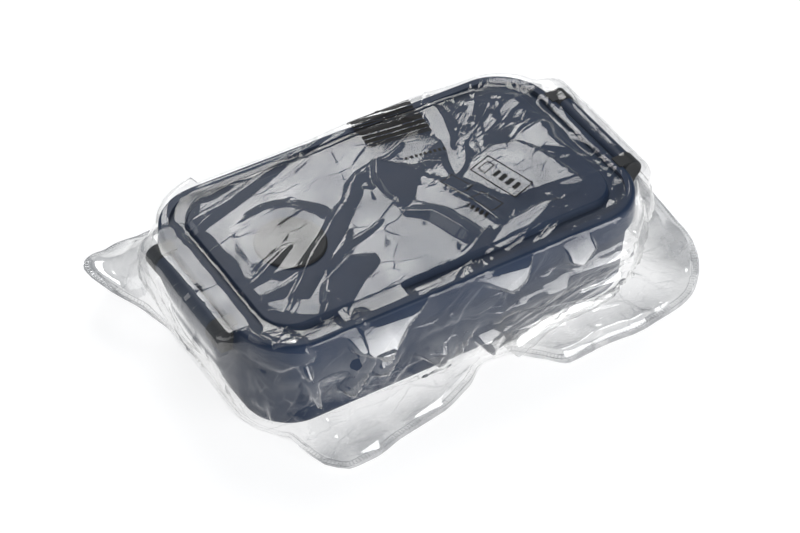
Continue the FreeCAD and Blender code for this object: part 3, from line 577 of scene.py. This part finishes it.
# Each fold is a line of places: x, y and half width, in millimetres on the flat film
LID_FOLDS = [
    [(-92, 28, 1.2), (-61, 39, 1.8), (-23, 51, 1.6), (4, 54, 1)],
    [(-7, 15, 3), (-19, 11, 4), (-27, 8, 4.5), (-36, 1, 4.5), (-44, -6, 4.5), (-54, -12, 4),
     (-63, -17, 3)],
    [(-62, -17, 1.6), (-74, -14, 1.8), (-83, -11, 1.6), (-96, -14, 0.8)],
    [(-16, 19, 2.6), (-7, 24, 2.6), (2, 26, 2.2), (11, 27, 2), (21, 31, 1.5)],
    [(-40, -14, 0.8), (-29, -12, 1.8), (-16, -10, 0.8)],
    [(-31, -30, 2), (-41, -29, 4.5), (-51, -34, 5.5), (-61, -41, 6), (-70, -49, 4)],
    [(-61, -19, 3), (-72, -29, 3), (-82, -39, 1.5)],
    [(-96, -14, 0.5), (-78, -6, 0.8), (-61, 1, 0.9), (-47, 14, 0.5)],
    [(-73, 21, 0.5), (-50, 24, 1), (-11, 28, 0.5)],
    [(-2, -10, 4), (7, -17, 8), (12, -33, 9), (14, -44, 6)],
    [(34, -49, 1.2), (22, -50, 2.8), (9, -53, 1.4)],
    [(21, 0, 3), (27, -18, 5), (30, -37, 4)],
    [(4, 21, 1.5), (13, 11, 2.2), (21, 0, 2.5)],
    [(55, 8, 1), (71, -10, 1.2), (84, -32, 1)],
    [(60, 25, 0.8), (72, 25, 1), (96, 27, 0.6)],
    [(60, 25, 1.2), (49, 28, 2.5), (49, 51, 1.5)],
    [(61, 4, 1), (76, 14, 1), (90, 13, 0.6)],
    [(31, -38, 1), (16, -47, 1.4), (2, -55, 1.4), (-17, -71, 1.6), (-32, -87, 1)],
    [(68, -45, 0.8), (55, -51, 1.6), (43, -56, 1.6), (30, -72, 1.8), (16, -83, 1.2)],
]
WALL_FOLDS = [
    [(-97, -56, 2.2), (-90, -64, 1.8), (-84, -90, 1)],
    [(-56, -56, 5.5), (-56, -71, 4), (-62, -81, 3), (-66, -93, 1)],
    [(-24, -73, 1), (-33, -87, 1.2), (-41, -103, 0.8)],
    [(30, -60, 1), (17, -72, 1.6), (14, -91, 1.4), (12, -108, 0.8)],
    [(96, -80, 1.2), (88, -84, 2.4), (67, -84, 3.4), (43, -84, 3.4), (14, -93, 2)],
    [(92, -90, 1.2), (79, -91, 2), (56, -93, 2.8), (29, -105, 1.4)],
    [(84, -99, 1.2), (60, -102, 2.4), (40, -114, 1.4)],
    [(102, -72, 1), (70, -74, 1.8), (30, -79, 1.2)],
    [(100, -76, 0.8), (74, -79, 1.5), (44, -88, 1.5), (20, -100, 0.8)],
    [(98, -82, 0.8), (70, -88, 1.4), (46, -98, 1.4), (30, -112, 0.8)],
    [(96, -94, 0.8), (72, -97, 1.4), (50, -109, 0.8)],
    [(6, -62, 1), (-6, -72, 1.5), (-14, -86, 1.5), (-20, -104, 0.8)],
    [(-30, -64, 0.9), (-38, -76, 1.4), (-42, -92, 0.8)],
    [(64, -60, 0.8), (52, -68, 1.4), (36, -76, 0.8)],
]
# Each row: seed, middle, number of folds, reach, first way, last way, half width
PULLED_PLACES = [
    (3, (60, 25), 7, 34, 0, 320, 1.3),
    (5, (106, 32), 9, 50, 140, 260, 1.7),
    (7, (106, -30), 9, 46, 110, 240, 1.6),
    (9, (-98, -52), 8, 40, -60, 60, 1.1),
    (12, (-106, 36), 8, 55, 150, 290, 1.6),
    (14, (-112, -44), 8, 60, 180, 300, 1.8),
    (16, (84, -32), 7, 30, 60, 300, 1.2),
    (18, (-88, -118), 9, 46, -20, 160, 1.7),
    (20, (-30, -110), 9, 52, 20, 200, 1.8),
    (22, (60, -112), 10, 60, 10, 190, 2),
    (24, (140, -60), 9, 50, 60, 240, 1.9),
]
PULLED = [line for row in PULLED_PLACES for line in pulled_place(*row)]
# Each row: seed, number, area, way, spread of the way, length, half width
STREWN_AREAS = [
    (31, 20, (-98, 10, -50, 50), 32, 26, 46, 1.5),
    (33, 30, (10, 100, -50, 50), -20, 38, 46, 3),
    (35, 26, (-90, 95, -112, -60), 62, 24, 50, 2.4),
    (37, 26, (-90, 95, 60, 116), 100, 30, 40, 2.2),
    (39, 22, (-158, -106, -70, 70), 8, 16, 44, 2.2),
    (41, 24, (106, 168, -70, 70), -10, 30, 44, 2.4),
]
STREWN = [line for row in STREWN_AREAS for line in scattered_folds(*row)]
# Each group: folds and their slope
FOLD_GROUPS = ((LID_FOLDS, 0.34), (PULLED, 0.36), (WALL_FOLDS, 0.62), (STREWN, 0.36))
# Each plate: the way that it falls in degrees, its slope, and its outline on the flat film
DARK_PLATES = [
    (-50, 0.26, [(-15, 20), (-33, 2), (-60, -17), (-76, -31), (-68, -36), (-53, -23), (-28, -3),
        (-9, 13)]),
    (-60, 0.22, [(-11, 23), (4, 23), (3, 16), (-4, 14), (-16, 18)]),
    (-60, 0.18, [(3, 28), (12, 19), (19, 12), (12, -3), (-3, -9), (-4, 17)]),
    (-35, 0.22, [(-65, -40), (-58, -31), (-40, -22), (-30, -26), (-29, -31), (-42, -37),
        (-56, -47)]),
    (-70, 0.3, [(-39, -14), (-29, -13), (-16, -8), (-15, -11), (-25, -15), (-34, -16)]),
    (-20, 0.3, [(-8, 12), (-8, 5), (-12, 1), (-11, 8)]),
    (-65, 0.26, [(-89, 27), (-58, 36), (-25, 49), (-28, 54), (-50, 46), (-73, 38), (-91, 35)]),
    (-65, 0.3, [(-23, 50), (-7, 55), (2, 56), (-1, 59), (-13, 56), (-24, 53)]),
    (-60, 0.25, [(-79, 46), (-57, 51), (-49, 52), (-57, 47), (-77, 43)]),
    (-60, 0.3, [(-92, -16), (-79, -11), (-61, -3), (-60, -5), (-70, -13), (-82, -17)]),
    (-60, 0.3, [(-87, -25), (-75, -23), (-65, -20), (-64, -25), (-76, -31)]),
    (170, 0.13, [(-108, 30), (-104, 50), (-92, 63), (-74, 66), (-74, 58), (-88, 54), (-96, 44),
        (-99, 29)]),
    (200, 0.24, [(-110, -36), (-111, -54), (-100, -64), (-82, -64), (-84, -55), (-96, -51),
        (-101, -37)]),
]
BRIGHT_PLATES = [
    (180, 0.1, [(45, 53), (50, 44), (46, 26), (36, 11), (31, -1), (32, 10), (39, 26), (43, 43)]),
    (185, 0.11, [(31, -1), (56, 9), (69, 4), (75, -10), (79, -33), (58, -29), (46, -27),
        (40, -20)]),
    (170, 0.13, [(62, 8), (86, 12), (89, 9), (85, -1), (87, -16), (77, -6)]),
    (195, 0.09, [(9, 14), (16, -1), (24, -15), (27, -28), (28, -38), (21, -41), (15, -17), (1, 1)]),
    (200, 0.11, [(17, -46), (31, -39), (52, -37), (63, -39), (52, -45), (40, -49), (33, -55),
        (22, -54)]),
    (190, 0.13, [(85, -42), (93, -42), (86, -47), (81, -53), (78, -51)]),
    (175, 0.14, [(73, 30), (89, 34), (101, 33), (92, 27), (78, 26), (71, 23)]),
    (185, 0.07, [(-22, -60), (-1, -48), (18, -40), (25, -37), (19, -43), (2, -52), (-14, -63)]),
]
WALL_PLATES = [
    (100, 0.62, [(-66, -60), (-24, -60), (-36, -66), (-48, -77), (-62, -70)]),
    (110, 0.62, [(-68, -92), (-62, -84), (-54, -76), (-50, -80), (-57, -89), (-63, -94)]),
    (95, 0.65, [(-52, -89), (-48, -81), (-39, -77), (-36, -82), (-41, -86), (-45, -90)]),
    (90, 0.62, [(-34, -96), (-23, -94), (-6, -97), (-10, -104), (-26, -105)]),
    (105, 0.65, [(-92, -60), (-86, -60), (-85, -72), (-90, -72)]),
    (105, 0.65, [(-90, -73), (-84, -73), (-82, -88), (-87, -88)]),
    (95, 0.6, [(-32, -85), (-24, -80), (-10, -79), (4, -84), (-7, -94), (-21, -96)]),
    (105, 0.6, [(3, -60), (32, -60), (27, -67), (18, -71), (10, -66)]),
    (100, 0.6, [(50, -60), (64, -60), (66, -67), (57, -73), (50, -70)]),
    (95, 0.6, [(8, -80), (50, -74), (94, -73), (90, -79), (52, -82), (12, -88)]),
    (90, 0.6, [(2, -94), (44, -86), (92, -84), (88, -90), (50, -94), (8, -103)]),
    (85, 0.6, [(20, -108), (60, -99), (96, -95), (90, -102), (60, -108), (26, -117)]),
]
PLATES = DARK_PLATES + BRIGHT_PLATES + WALL_PLATES
# Where the film spans the channel instead of dipping into it
BRIDGES = [
    [(-64, -40), (-46, -34), (-29, -31), (-27, -60), (-64, -60)],
    [(14, -42), (31, -38), (64, -38), (52, -60), (12, -60)],
    [(-96, -44), (-86, -46), (-84, -60), (-94, -60)],
]


def inside_share(places, corners, soft=1.8):
    """1 inside a drawn outline and 0 outside, with a narrow slope between."""
    x, y = places[:, 0], places[:, 1]
    inside = np.zeros(len(places), bool)
    away = np.full(len(places), 1e6)
    for (x0, y0), (x1, y1) in zip(corners, corners[1:] + corners[:1]):
        rise = (y1 - y0) or 1e-9
        inside ^= ((y0 > y) != (y1 > y)) & (x < x0 + (y - y0) * (x1 - x0) / rise)
        length = (x1 - x0) ** 2 + (y1 - y0) ** 2
        part = np.clip(((x - x0) * (x1 - x0) + (y - y0) * (y1 - y0)) / length, 0.0, 1.0)
        near = np.hypot(x - x0 - part * (x1 - x0), y - y0 - part * (y1 - y0))
        away = np.minimum(away, near)
    return np.clip(0.5 + np.where(inside, away, -away) / soft, 0.0, 1.0)


def plate_heights(places, plates):
    """Flat tilted plates inside drawn outlines: their heights, and how far a place is in one."""
    total, share = np.zeros(len(places)), np.zeros(len(places))
    for way, slope, corners in plates:
        down = np.array(pointing(way))
        foot = max(float(np.dot(corner, down)) for corner in corners)
        mask = inside_share(places, corners)
        total = np.maximum(total, slope * np.maximum(0.0, foot - places @ down) * mask)
        share = np.maximum(share, mask)
    return total, share


# Each net: seed, spacing, stretch, way, height, and how rare the high corners are
BIG_NET = facet_net(11, 28.0, 1.8, 32.0, 4.2, 1.5)
MID_NET = facet_net(23, 13.0, 2.2, -24.0, 1.7, 2.2)
FINE_NET = facet_net(37, 5.5, 2.6, 58.0, 0.30, 2.8)
LOOSE_NET = facet_net(51, 10.0, 2.3, 75.0, 4.4, 1.7)


def crease_heights(places, slack):
    """How far the film stands proud at places of the flat film; slack is 0 where it is tight.

    The left half is pulled flatter than the right half, so its nets are calmer.
    """
    calm = 0.3 + 0.7 * np.clip((places[:, 0] + 30.0) / 90.0, 0.0, 1.0)
    total = calm * (BIG_NET(places) * 0.75 + MID_NET(places)) + FINE_NET(places)
    total *= 0.9 + 0.7 * slack
    total += slack * LOOSE_NET(places) * 1.1
    folds = np.max([fold_heights(places, *group) for group in FOLD_GROUPS], axis=0)
    total += folds * (1.0 + 1.3 * slack)
    plates, share = plate_heights(places, PLATES)
    return total * (1.0 - 0.75 * share) + plates


print("folds drawn, pulled, strewn:", len(LID_FOLDS + WALL_FOLDS), len(PULLED), len(STREWN))
print("plates:", len(PLATES))

# %% [markdown]
# ## The upper layer
# The rings of points run from the middle of the lid out to its rim and down the course. Each
# point also keeps its place on the flat film, as a UV map, for the print and the creases.

# %% Upper layer of the film
PANEL_EDGE = 0.86
CHANNEL_SHARE, CHANNEL_HALF, CHANNEL_DIP = 0.905, 0.075, 1.9
LATCH_FROM, LATCH_RISE = 94.0, 5.0
RING_POWER = 1.12
HEM_FADE = (0.85, 0.6, 0.3, 0.1, 0.05)


def place_on_top(turn, share):
    """A place of the smooth film over the lid; share is 0 in the middle and 1 at the rim."""
    x, y, out_x, out_y = lid_outline(turn)
    inset = RIM_ROUND + SKIRT_LEAN
    x, y = (x - out_x * inset) * share, (y - out_y * inset) * share
    level = PANEL + COVER + 0.3 + (RIM - PANEL - 0.6) * eased((share - PANEL_EDGE) / 0.14)
    level -= CHANNEL_DIP * max(0.0, 1.0 - abs(share - CHANNEL_SHARE) / CHANNEL_HALF)
    lip = RIM + 0.6 + COVER
    level += (lip + 0.2 - level) * over_latch(y) * eased((abs(x) - LATCH_FROM) / LATCH_RISE)
    return x, y, level + (PLUG_TALL + 0.2) * over_plug(x, y)


def out_of_edge(edges, out):
    """Places at a distance out of the lid's lower edge."""
    return edges[:, 0] + edges[:, 2] * out, edges[:, 1] + edges[:, 3] * out


def upper_surface():
    """Rings of points, their places on the flat film, and the way covered down the course."""
    turns = [k / TURNS for k in range(TURNS)]
    rows, flat = [], []
    shares = 1.0 - (1.0 - np.arange(1, TOP_RINGS + 1) / (TOP_RINGS + 1)) ** RING_POWER
    for share in shares:
        row = np.array([place_on_top(turn, share) for turn in turns])
        bridged = np.max([inside_share(row, corners, 3.0) for corners in BRIDGES], axis=0)
        row[:, 2] += np.maximum(0.0, PANEL + COVER + 0.1 - row[:, 2]) * bridged
        rows.append(row)
        flat.append(row[:, :2].copy())
    runs = np.array([smooth_run(course_at(turn), PER_STEP) for turn in turns])
    edges = np.array([lid_outline(turn) for turn in turns])
    steps = np.linalg.norm(np.diff(runs, axis=1), axis=2)
    along = np.concatenate([np.zeros((TURNS, 1)), np.cumsum(steps, axis=1)], axis=1)
    inset = RIM_ROUND + SKIRT_LEAN
    for k in range(runs.shape[1]):
        out, level = runs[:, k, 0], runs[:, k, 1]
        rows.append(np.stack([*out_of_edge(edges, out), level], axis=1))
        flat.append(edges[:, :2] + edges[:, 2:] * (along[:, k] - inset)[:, None])
    return np.array(rows), np.array(flat), along


rows, flat, along = upper_surface()
print("upper layer:", len(rows), "rings, longest course", round(float(along.max()), 1), "mm")


def outward(rows):
    """The way out of the surface at each point."""
    round_way = np.roll(rows, -1, axis=1) - np.roll(rows, 1, axis=1)
    down_way = np.gradient(rows, axis=0)
    way = np.cross(round_way, down_way)
    way /= np.maximum(np.linalg.norm(way, axis=2, keepdims=True), 1e-9)
    return -way if way[0, :, 2].mean() < 0 else way


slack = np.zeros(rows.shape[:2])
slack[TOP_RINGS:] = np.clip((along.T - 12.0) / 30.0, 0.0, 1.0)
proud = crease_heights(flat.reshape(-1, 2), slack.ravel()).reshape(slack.shape)
proud[-len(HEM_FADE):] *= np.array(HEM_FADE)[:, None]
rows = rows + outward(rows) * proud[:, :, None]
print("folds stand up to", round(float(proud.max()), 2), "mm proud")


def closed_rings(name, rows, flat, middle, flip=False):
    """A mesh from rings round a middle point, with the flat places as its UV map."""
    count, turns = rows.shape[:2]
    points = [tuple(middle)] + [tuple(p) for row in rows for p in row]
    faces = [(0, 1 + k, 1 + (k + 1) % turns) for k in range(turns)]
    for ring in range(count - 1):
        for k in range(turns):
            a, b = 1 + ring * turns + k, 1 + ring * turns + (k + 1) % turns
            faces.append((a, a + turns, b + turns, b))
    if flip:
        faces = [tuple(reversed(face)) for face in faces]
    mesh = bpy.data.meshes.new(name)
    mesh.from_pydata([(x * MM, y * MM, z * MM) for x, y, z in points], [], faces)
    uv = mesh.uv_layers.new(name="flat")
    places = np.vstack([[[0.0, 0.0]], flat.reshape(-1, 2)]) * MM
    corners = np.zeros(len(mesh.loops), np.int32)
    mesh.loops.foreach_get("vertex_index", corners)
    uv.data.foreach_set("uv", places[corners].ravel())
    mesh.polygons.foreach_set("use_smooth", [True] * len(mesh.polygons))
    mesh.update()
    return placed(name, mesh)


top = rows[0].mean(axis=0)
film_upper = closed_rings("film_upper", rows, flat, (0.0, 0.0, top[2]))
print("film_upper:", len(film_upper.data.polygons), "faces")

# %% [markdown]
# ## Vent holes
# Two round holes are punched through the upper layer so that air gets out of the bag: one on the
# front, one on the left side. Points near the circle are drawn onto it, and the faces inside go.

# %% Vent holes
# Each hole: its middle, and the axis along which it is punched
HOLES = [((-61.8, -59.5, 36.0), 1), ((-104.0, -31.0, 20.0), 0)]
HOLE_RADIUS, INNER, OUTER = 2.65, 0.72, 1.28
REACH_IN, BOX_HALF = 14.0, 50.0


def punch(piece, middle, flat_axis):
    """Gathers the nearest points onto a circle and takes out those inside it."""
    mesh = bmesh.new()
    mesh.from_mesh(piece.data)
    keep = [axis for axis in range(3) if axis != flat_axis]
    gone = []
    side = math.copysign(1.0, middle[flat_axis])
    for vertex in mesh.verts:
        place = vertex.co / MM
        deep = abs(place[flat_axis] - middle[flat_axis])
        if deep > REACH_IN or place[flat_axis] * side < BOX_HALF:
            continue
        du, dv = place[keep[0]] - middle[keep[0]], place[keep[1]] - middle[keep[1]]
        away = math.hypot(du, dv)
        if HOLE_RADIUS * INNER < away < HOLE_RADIUS * OUTER:
            scale = HOLE_RADIUS / away
            place[keep[0]] = middle[keep[0]] + du * scale
            place[keep[1]] = middle[keep[1]] + dv * scale
            vertex.co = place * MM
        elif away <= HOLE_RADIUS * INNER:
            gone.append(vertex)
    bmesh.ops.delete(mesh, geom=gone, context="VERTS")
    mesh.to_mesh(piece.data)
    mesh.free()
    return len(gone)


for middle, flat_axis in HOLES:
    print("punched", punch(film_upper, middle, flat_axis), "points at", middle)

# %% [markdown]
# ## The under layer
# The under layer lies on the floor beneath the container, and rises only at its edge to meet the
# weld. It gets the same loose creases, where the box doesn't press it flat.

# %% Under layer of the film
UNDER_TURNS, UNDER_RINGS, UNDER_LEVEL = 280, 20, 0.08
FLAT_SHARES = (0.25, 0.5, 0.75, 0.9, 1.0)


def under_surface():
    """Rings of points and their places on the flat film, from the middle out to the hem."""
    turns = [k / UNDER_TURNS for k in range(UNDER_TURNS)]
    rows = []
    edges = np.array([lid_outline(turn) for turn in turns])
    hems = np.array([hem_at(turn) for turn in turns])
    reach, lift = hems[:, 0], np.maximum(0.4, hems[:, 1])
    foot = np.minimum(-4.5, reach - WELD - 0.5)
    for share in FLAT_SHARES:
        x, y = (part * share for part in out_of_edge(edges, foot))
        rows.append(np.stack([x, y, np.full(len(turns), UNDER_LEVEL)], axis=1))
    for part in np.arange(1, UNDER_RINGS + 1) / UNDER_RINGS:
        out = foot + (reach - foot) * part
        x, y = out_of_edge(edges, out)
        level = UNDER_LEVEL + (lift - 0.1) * part**1.6
        loose = math.sin(math.pi * part) ** 0.8
        folds = LOOSE_NET(np.stack([31.0 - x, y + 17.0], axis=1)) * 0.3 * loose
        folds *= np.minimum(1.0, (reach - foot) / 12.0)
        rows.append(np.stack([x, y, level + folds], axis=1))
    return np.array(rows), np.array(rows)[:, :, :2]


under_rows, under_flat = under_surface()
under_middle = (0.0, 0.0, UNDER_LEVEL)
film_under = closed_rings("film_under", under_rows, under_flat, under_middle, flip=True)
print("film_under:", len(film_under.data.polygons), "faces")

# %% [markdown]
# ## Film finish
# Clear film takes no colour of its own. Each surface mirrors a share of what is round it, more at
# a slant, and lets the rest through. A faint haze is added. Where the film hangs loose beyond the
# box it gets a thick grey haze: painted shade for the dim surroundings that the slack layers
# mirror and for the shade in their folds, with some real haze of the stacked layers. Low on the
# sides the small creases get painted grey lines, as film seen edge-on looks, and where the film
# is gathered pale streaks are painted on as highlights. Its print is dark ink: a block of bars,
# an outlined label and a few plain shapes. Print and small creases are read from the flat film's
# UV map.

# %% Film finish
# Beyond these half sizes of the box, in metres, the film hangs loose
LOOSE_X, LOOSE_Y = 0.1035, 0.0575
# Each set of small creases: turn, cells per metre along X, Y and Z, and width of a crease
SMALL_CREASES = ((0.55, (30.0, 80.0, 1.0), 0.04), (-0.5, (60.0, 150.0, 1.0), 0.05))
# The loose film's colour is a painted grey: painted shade for the dim surroundings that the slack
# layers mirror and for their folds, with some real haze of the stacked layers.
TIGHT_FILM, LOOSE_FILM_SHADE = (0.95, 0.945, 0.935, 1.0), (0.62, 0.625, 0.63, 1.0)
INK = (0.010, 0.009, 0.009, 1.0)
SHINE = 0.86


def fine_creases(finish, flat_place):
    """Fine sharp creases: the edges of stretched cells, laid two ways; 1 on a crease."""
    values = {"Vector": flat_place, "Scale": 55.0, "Detail": 2.0}
    drift = finish.node("ShaderNodeTexNoise", {}, values, "Color")
    adding = {"operation": "MULTIPLY_ADD"}
    bent = finish.node("ShaderNodeVectorMath", adding, [drift, (0.012,) * 3, flat_place])
    cells = {"feature": "DISTANCE_TO_EDGE", "voronoi_dimensions": "2D"}
    total = 0.0
    for turn, scale, sharp in SMALL_CREASES:
        values = {"Vector": bent, "Rotation": (0.0, 0.0, turn), "Scale": scale}
        laid = finish.node("ShaderNodeMapping", {}, values)
        away = finish.node("ShaderNodeTexVoronoi", cells, {"Vector": laid, "Scale": 1.0})
        seen = finish.noise(laid, 0.8, 1.0).stretched(0.50, 0.70)
        total = away.stretched(0.0, sharp, 1.0, 0.0) * seen + total
    return total


def turned_to(u, v, middle, way):
    """Places measured from a middle, along and across a way."""
    cos, sin = pointing(way)
    du, dv = u - middle[0], v - middle[1]
    return du * cos + dv * sin, dv * cos - du * sin


def bundled_fold_highlights(finish, u, v):
    """Painted highlights: long pale streaks where the film is gathered towards the front right
    corner.
    """
    p, q = turned_to(u, v, (0.060, -0.092), 12.0)
    near = (1.0 - q.size().stretched(0.007, 0.015)) * (1.0 - p.size().stretched(0.030, 0.046))
    along = finish.node("ShaderNodeCombineXYZ", {}, [p * 0.05 + q * 0.03, q * 1.0, 0.0])
    return finish.noise(along, 520.0, 2.0, 0.6).stretched(0.46, 0.68) * near


def block(p, q, half_p, half_q):
    return (p.size() < half_p) * (q.size() < half_q)


def outlined(p, q, half_p, half_q, line):
    return block(p, q, half_p, half_q) - block(p, q, half_p - line, half_q - line)


def dashed(p, q, half_p, half_q, beat, cut, shift=0.0):
    """A block cut into dashes along p."""
    return block(p + shift, q, half_p, half_q) * ((p * beat).maths("SINE") > cut)


def print_mask(finish, u, v):
    """1 on the ink: bars, an outlined label, and small plain shapes."""
    p, q = turned_to(u, v, (0.024, 0.0475), -6.0)
    beat = finish.node("ShaderNodeCombineXYZ", {}, [0.0, q * 1.0, 3.0])
    ink = block(p, q, 0.0165, 0.0125) * (finish.noise(beat, 1300.0, 0.0) > 0.46)
    p, q = turned_to(u, v, (0.048, -0.012), -76.0)
    ink = ink + outlined(p, q, 0.0142, 0.0064, 0.0007)
    ink = ink + dashed(p, q, 0.008, 0.0024, 1500.0, -0.35, shift=-0.004)
    ink = ink + outlined(p + 0.0095, q, 0.0024, 0.0036, 0.0007)
    p, q = turned_to(u, v, (0.03, -0.015), -73.0)
    ink = ink + outlined(p + 0.0095, q, 0.0065, 0.0045, 0.0006)
    ink = ink + outlined(p - 0.0085, q, 0.0065, 0.0045, 0.0006)
    ink = ink + dashed(p, q + 0.0075, 0.0065, 0.0013, 2300.0, -0.4, shift=-0.010)
    p, q = turned_to(u, v, (0.0265, 0.0205), -8.0)
    return (ink + dashed(p, q, 0.011, 0.001, 2600.0, -0.3)).held()


def clear_film(name, printed=False, creased=True, milk=0.0):
    """Film that mirrors by slant; milk is an even cloudiness added on top."""
    finish = Finish(name)
    where = finish.place()
    x, y, z = finish.parts_of(where)
    small = finish.noise(where, 200.0, 0.0)
    normal = finish.bump(small, 0.00010, 0.35)
    beyond = (x.size() - LOOSE_X).maths("MAXIMUM", y.size() - LOOSE_Y).stretched(0.004, 0.022)
    cloud = finish.noise(where, 60.0, 3.0).stretched(0.35, 0.75)
    # A faint real haze, and on the loose film beyond the box a thick grey haze that is mostly
    # painted shade, with some real haze of stacked layers.
    haze_and_painted_light = cloud * 0.006 + 0.001 + beyond * (cloud * 0.34 + 0.26) + milk
    if creased:
        flat_place = finish.node("ShaderNodeUVMap", {"uv_map": "flat"})
        u, v, _ = finish.parts_of(flat_place)
        crease = fine_creases(finish, flat_place)
        normal = finish.bump(crease * (1.0 - beyond * 0.6), 0.00016, 0.6, normal)
        # Painted shade: the small creases, most of all low on the box's sides and on the loose
        # film, get more grey haze, as film seen edge-on looks.
        below = 1.0 - z.stretched(0.030, 0.047)
        haze_and_painted_light = haze_and_painted_light + crease * beyond * 0.06 + below * (crease * 0.14 + cloud * 0.008)
        # Painted highlight: pale streaks for the light on the film gathered at the front right
        # corner.
        haze_and_painted_light = haze_and_painted_light + bundled_fold_highlights(finish, u, v) * 0.42
    values = {"Blend": 0.5, "Normal": normal}
    slant = finish.node("ShaderNodeLayerWeight", {}, values, "Facing")
    mirror = slant**5.0 * 0.9 + 0.024
    brushed = finish.noise(where, 48.0, 4.0, 0.62).stretched(0.30, 0.72)
    see = (mirror * (brushed * 1.5 + 1.25) + haze_and_painted_light).held()
    # Beyond the box the film's colour is the painted grey shade.
    colour = finish.blend(beyond, TIGHT_FILM, LOOSE_FILM_SHADE)
    metal = SHINE - beyond * 0.45
    rough = small * 0.06 + 0.07
    if printed:
        ink = print_mask(finish, u, v)
        colour = finish.blend(ink, colour, INK)
        metal = metal - ink * SHINE
        rough = rough + ink * 0.5
        see = see.maths("MAXIMUM", ink * 0.95)
    return finish.plain_surface({
        "Base Color": colour, "Metallic": metal, "Roughness": rough,
        "Specular IOR Level": 0.2, "Alpha": see, "Normal": normal})


film_upper.data.materials.append(clear_film("clear_printed_film", printed=True))
film_under.data.materials.append(clear_film("clear_film"))
print("film finishes:", film_upper.material_slots[0].name, film_under.material_slots[0].name)

# %% [markdown]
# ## The weld
# The two layers are welded along the hem by a hot tool that leaves two beads with fine crimps
# across them. Both follow one line, the middle of the weld, so a small tree of rules makes them:
# a profile of two circles swept along the line, and a thin bar at every step of it.

# %% Weld along the hem
def weld_rules():
    tree = bpy.data.node_groups.new("weld_rules", "GeometryNodeTree")
    face = tree.interface
    sizes = ("Bead Radius", "Bead Offset", "Crimp Pitch", "Crimp Width", "Crimp Thickness")
    kinds = {"Geometry": "Geometry", **{name: "Float" for name in sizes}}
    kinds.update({"Seed": "Int", "Finish": "Material"})
    for name, kind in kinds.items():
        face.new_socket(name, in_out="INPUT", socket_type="NodeSocket" + kind)
    face.new_socket("Geometry", in_out="OUTPUT", socket_type="NodeSocketGeometry")
    given = tree.nodes.new("NodeGroupInput").outputs

    def node(kind, inputs, **settings):
        made = tree.nodes.new(kind)
        for key, value in settings.items():
            setattr(made, key, value)
        for key, value in inputs.items():
            for socket in value if isinstance(value, list) else [value]:
                if isinstance(socket, bpy.types.NodeSocket):
                    tree.links.new(socket, made.inputs[key])
                else:
                    made.inputs[key].default_value = socket
        return made.outputs

    line = node("GeometryNodeMeshToCurve", {"Mesh": given["Geometry"]})["Curve"]
    line = node("GeometryNodeSetCurveNormal", {"Curve": line}, mode="Z_UP")["Curve"]
    values = {"Resolution": 5, "Radius": given["Bead Radius"]}
    ring = node("GeometryNodeCurvePrimitiveCircle", values)["Curve"]
    beads = []
    for side in (-1.0, 1.0):
        values = {0: given["Bead Offset"], 1: side}
        far = node("ShaderNodeMath", values, operation="MULTIPLY")["Value"]
        shift = node("ShaderNodeCombineXYZ", {"X": far})["Vector"]
        values = {"Geometry": ring, "Translation": shift}
        beads.append(node("GeometryNodeTransform", values)["Geometry"])
    profile = node("GeometryNodeJoinGeometry", {"Geometry": beads})["Geometry"]
    swept = node("GeometryNodeCurveToMesh", {"Curve": line, "Profile Curve": profile})["Mesh"]
    values = {"Curve": line, "Length": given["Crimp Pitch"]}
    steps = node("GeometryNodeCurveToPoints", values, mode="LENGTH")
    thick = given["Crimp Thickness"]
    size_of = node("ShaderNodeCombineXYZ", {"X": given["Crimp Width"], "Y": thick, "Z": thick})
    bar = node("GeometryNodeMeshCube", {"Size": size_of["Vector"]})["Mesh"]
    values = {"Min": (0.6, 0.8, 0.8), "Max": (1.1, 1.2, 1.6), "Seed": given["Seed"]}
    luck = node("FunctionNodeRandomValue", values, data_type="FLOAT_VECTOR")["Value"]
    values = {"Points": steps["Points"], "Rotation": steps["Rotation"]}
    values.update({"Instance": bar, "Scale": luck})
    crimps = node("GeometryNodeInstanceOnPoints", values)["Instances"]
    whole = node("GeometryNodeJoinGeometry", {"Geometry": [swept, crimps]})["Geometry"]
    whole = node("GeometryNodeRealizeInstances", {"Geometry": whole})["Geometry"]
    values = {"Geometry": whole, "Material": given["Finish"]}
    whole = node("GeometryNodeSetMaterial", values)["Geometry"]
    tree.links.new(whole, tree.nodes.new("NodeGroupOutput").inputs["Geometry"])
    return tree


def follow_line(name, points, tree, values):
    """A closed line of points, turned into a finished mesh by a tree of rules."""
    mesh = bpy.data.meshes.new(name + "_line")
    count = len(points)
    steps = [(k, (k + 1) % count) for k in range(count)]
    mesh.from_pydata([tuple(p * MM) for p in points], steps, [])
    carrier = placed(name + "_line", mesh)
    rules = carrier.modifiers.new("rules", "NODES")
    rules.node_group = tree
    for item in tree.interface.items_tree:
        if item.in_out == "INPUT" and item.name in values:
            rules[item.identifier] = values[item.name]
    seen = carrier.evaluated_get(bpy.context.evaluated_depsgraph_get())
    made = placed(name, bpy.data.meshes.new_from_object(seen))
    made.data.name = name
    carrier.modifiers.remove(rules)
    bpy.data.objects.remove(carrier)
    return made


WELD_RULES = {
    "Bead Radius": 0.00022, "Bead Offset": 0.00135,
    "Crimp Pitch": 0.0017, "Crimp Width": 0.0026, "Crimp Thickness": 0.00016,
    "Seed": 4, "Finish": clear_film("weld_film", creased=False, milk=0.02),
}
WELD_RING, WELD_LIFT = -3, 0.12
hem_line = rows[WELD_RING] + np.array([0.0, 0.0, WELD_LIFT])
film_weld = follow_line("film_weld", hem_line, weld_rules(), WELD_RULES)
print("film_weld:", len(film_weld.data.polygons), "faces")

# %% [markdown]
# The film's three pieces ride on the one body of this row, and the imported film solid is hidden.
# The two layers and the weld stand for the packed film solid.

# %% Rides and sheets
for piece in (film_upper, film_under, film_weld):
    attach(piece, "root")
    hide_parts("film_bag")
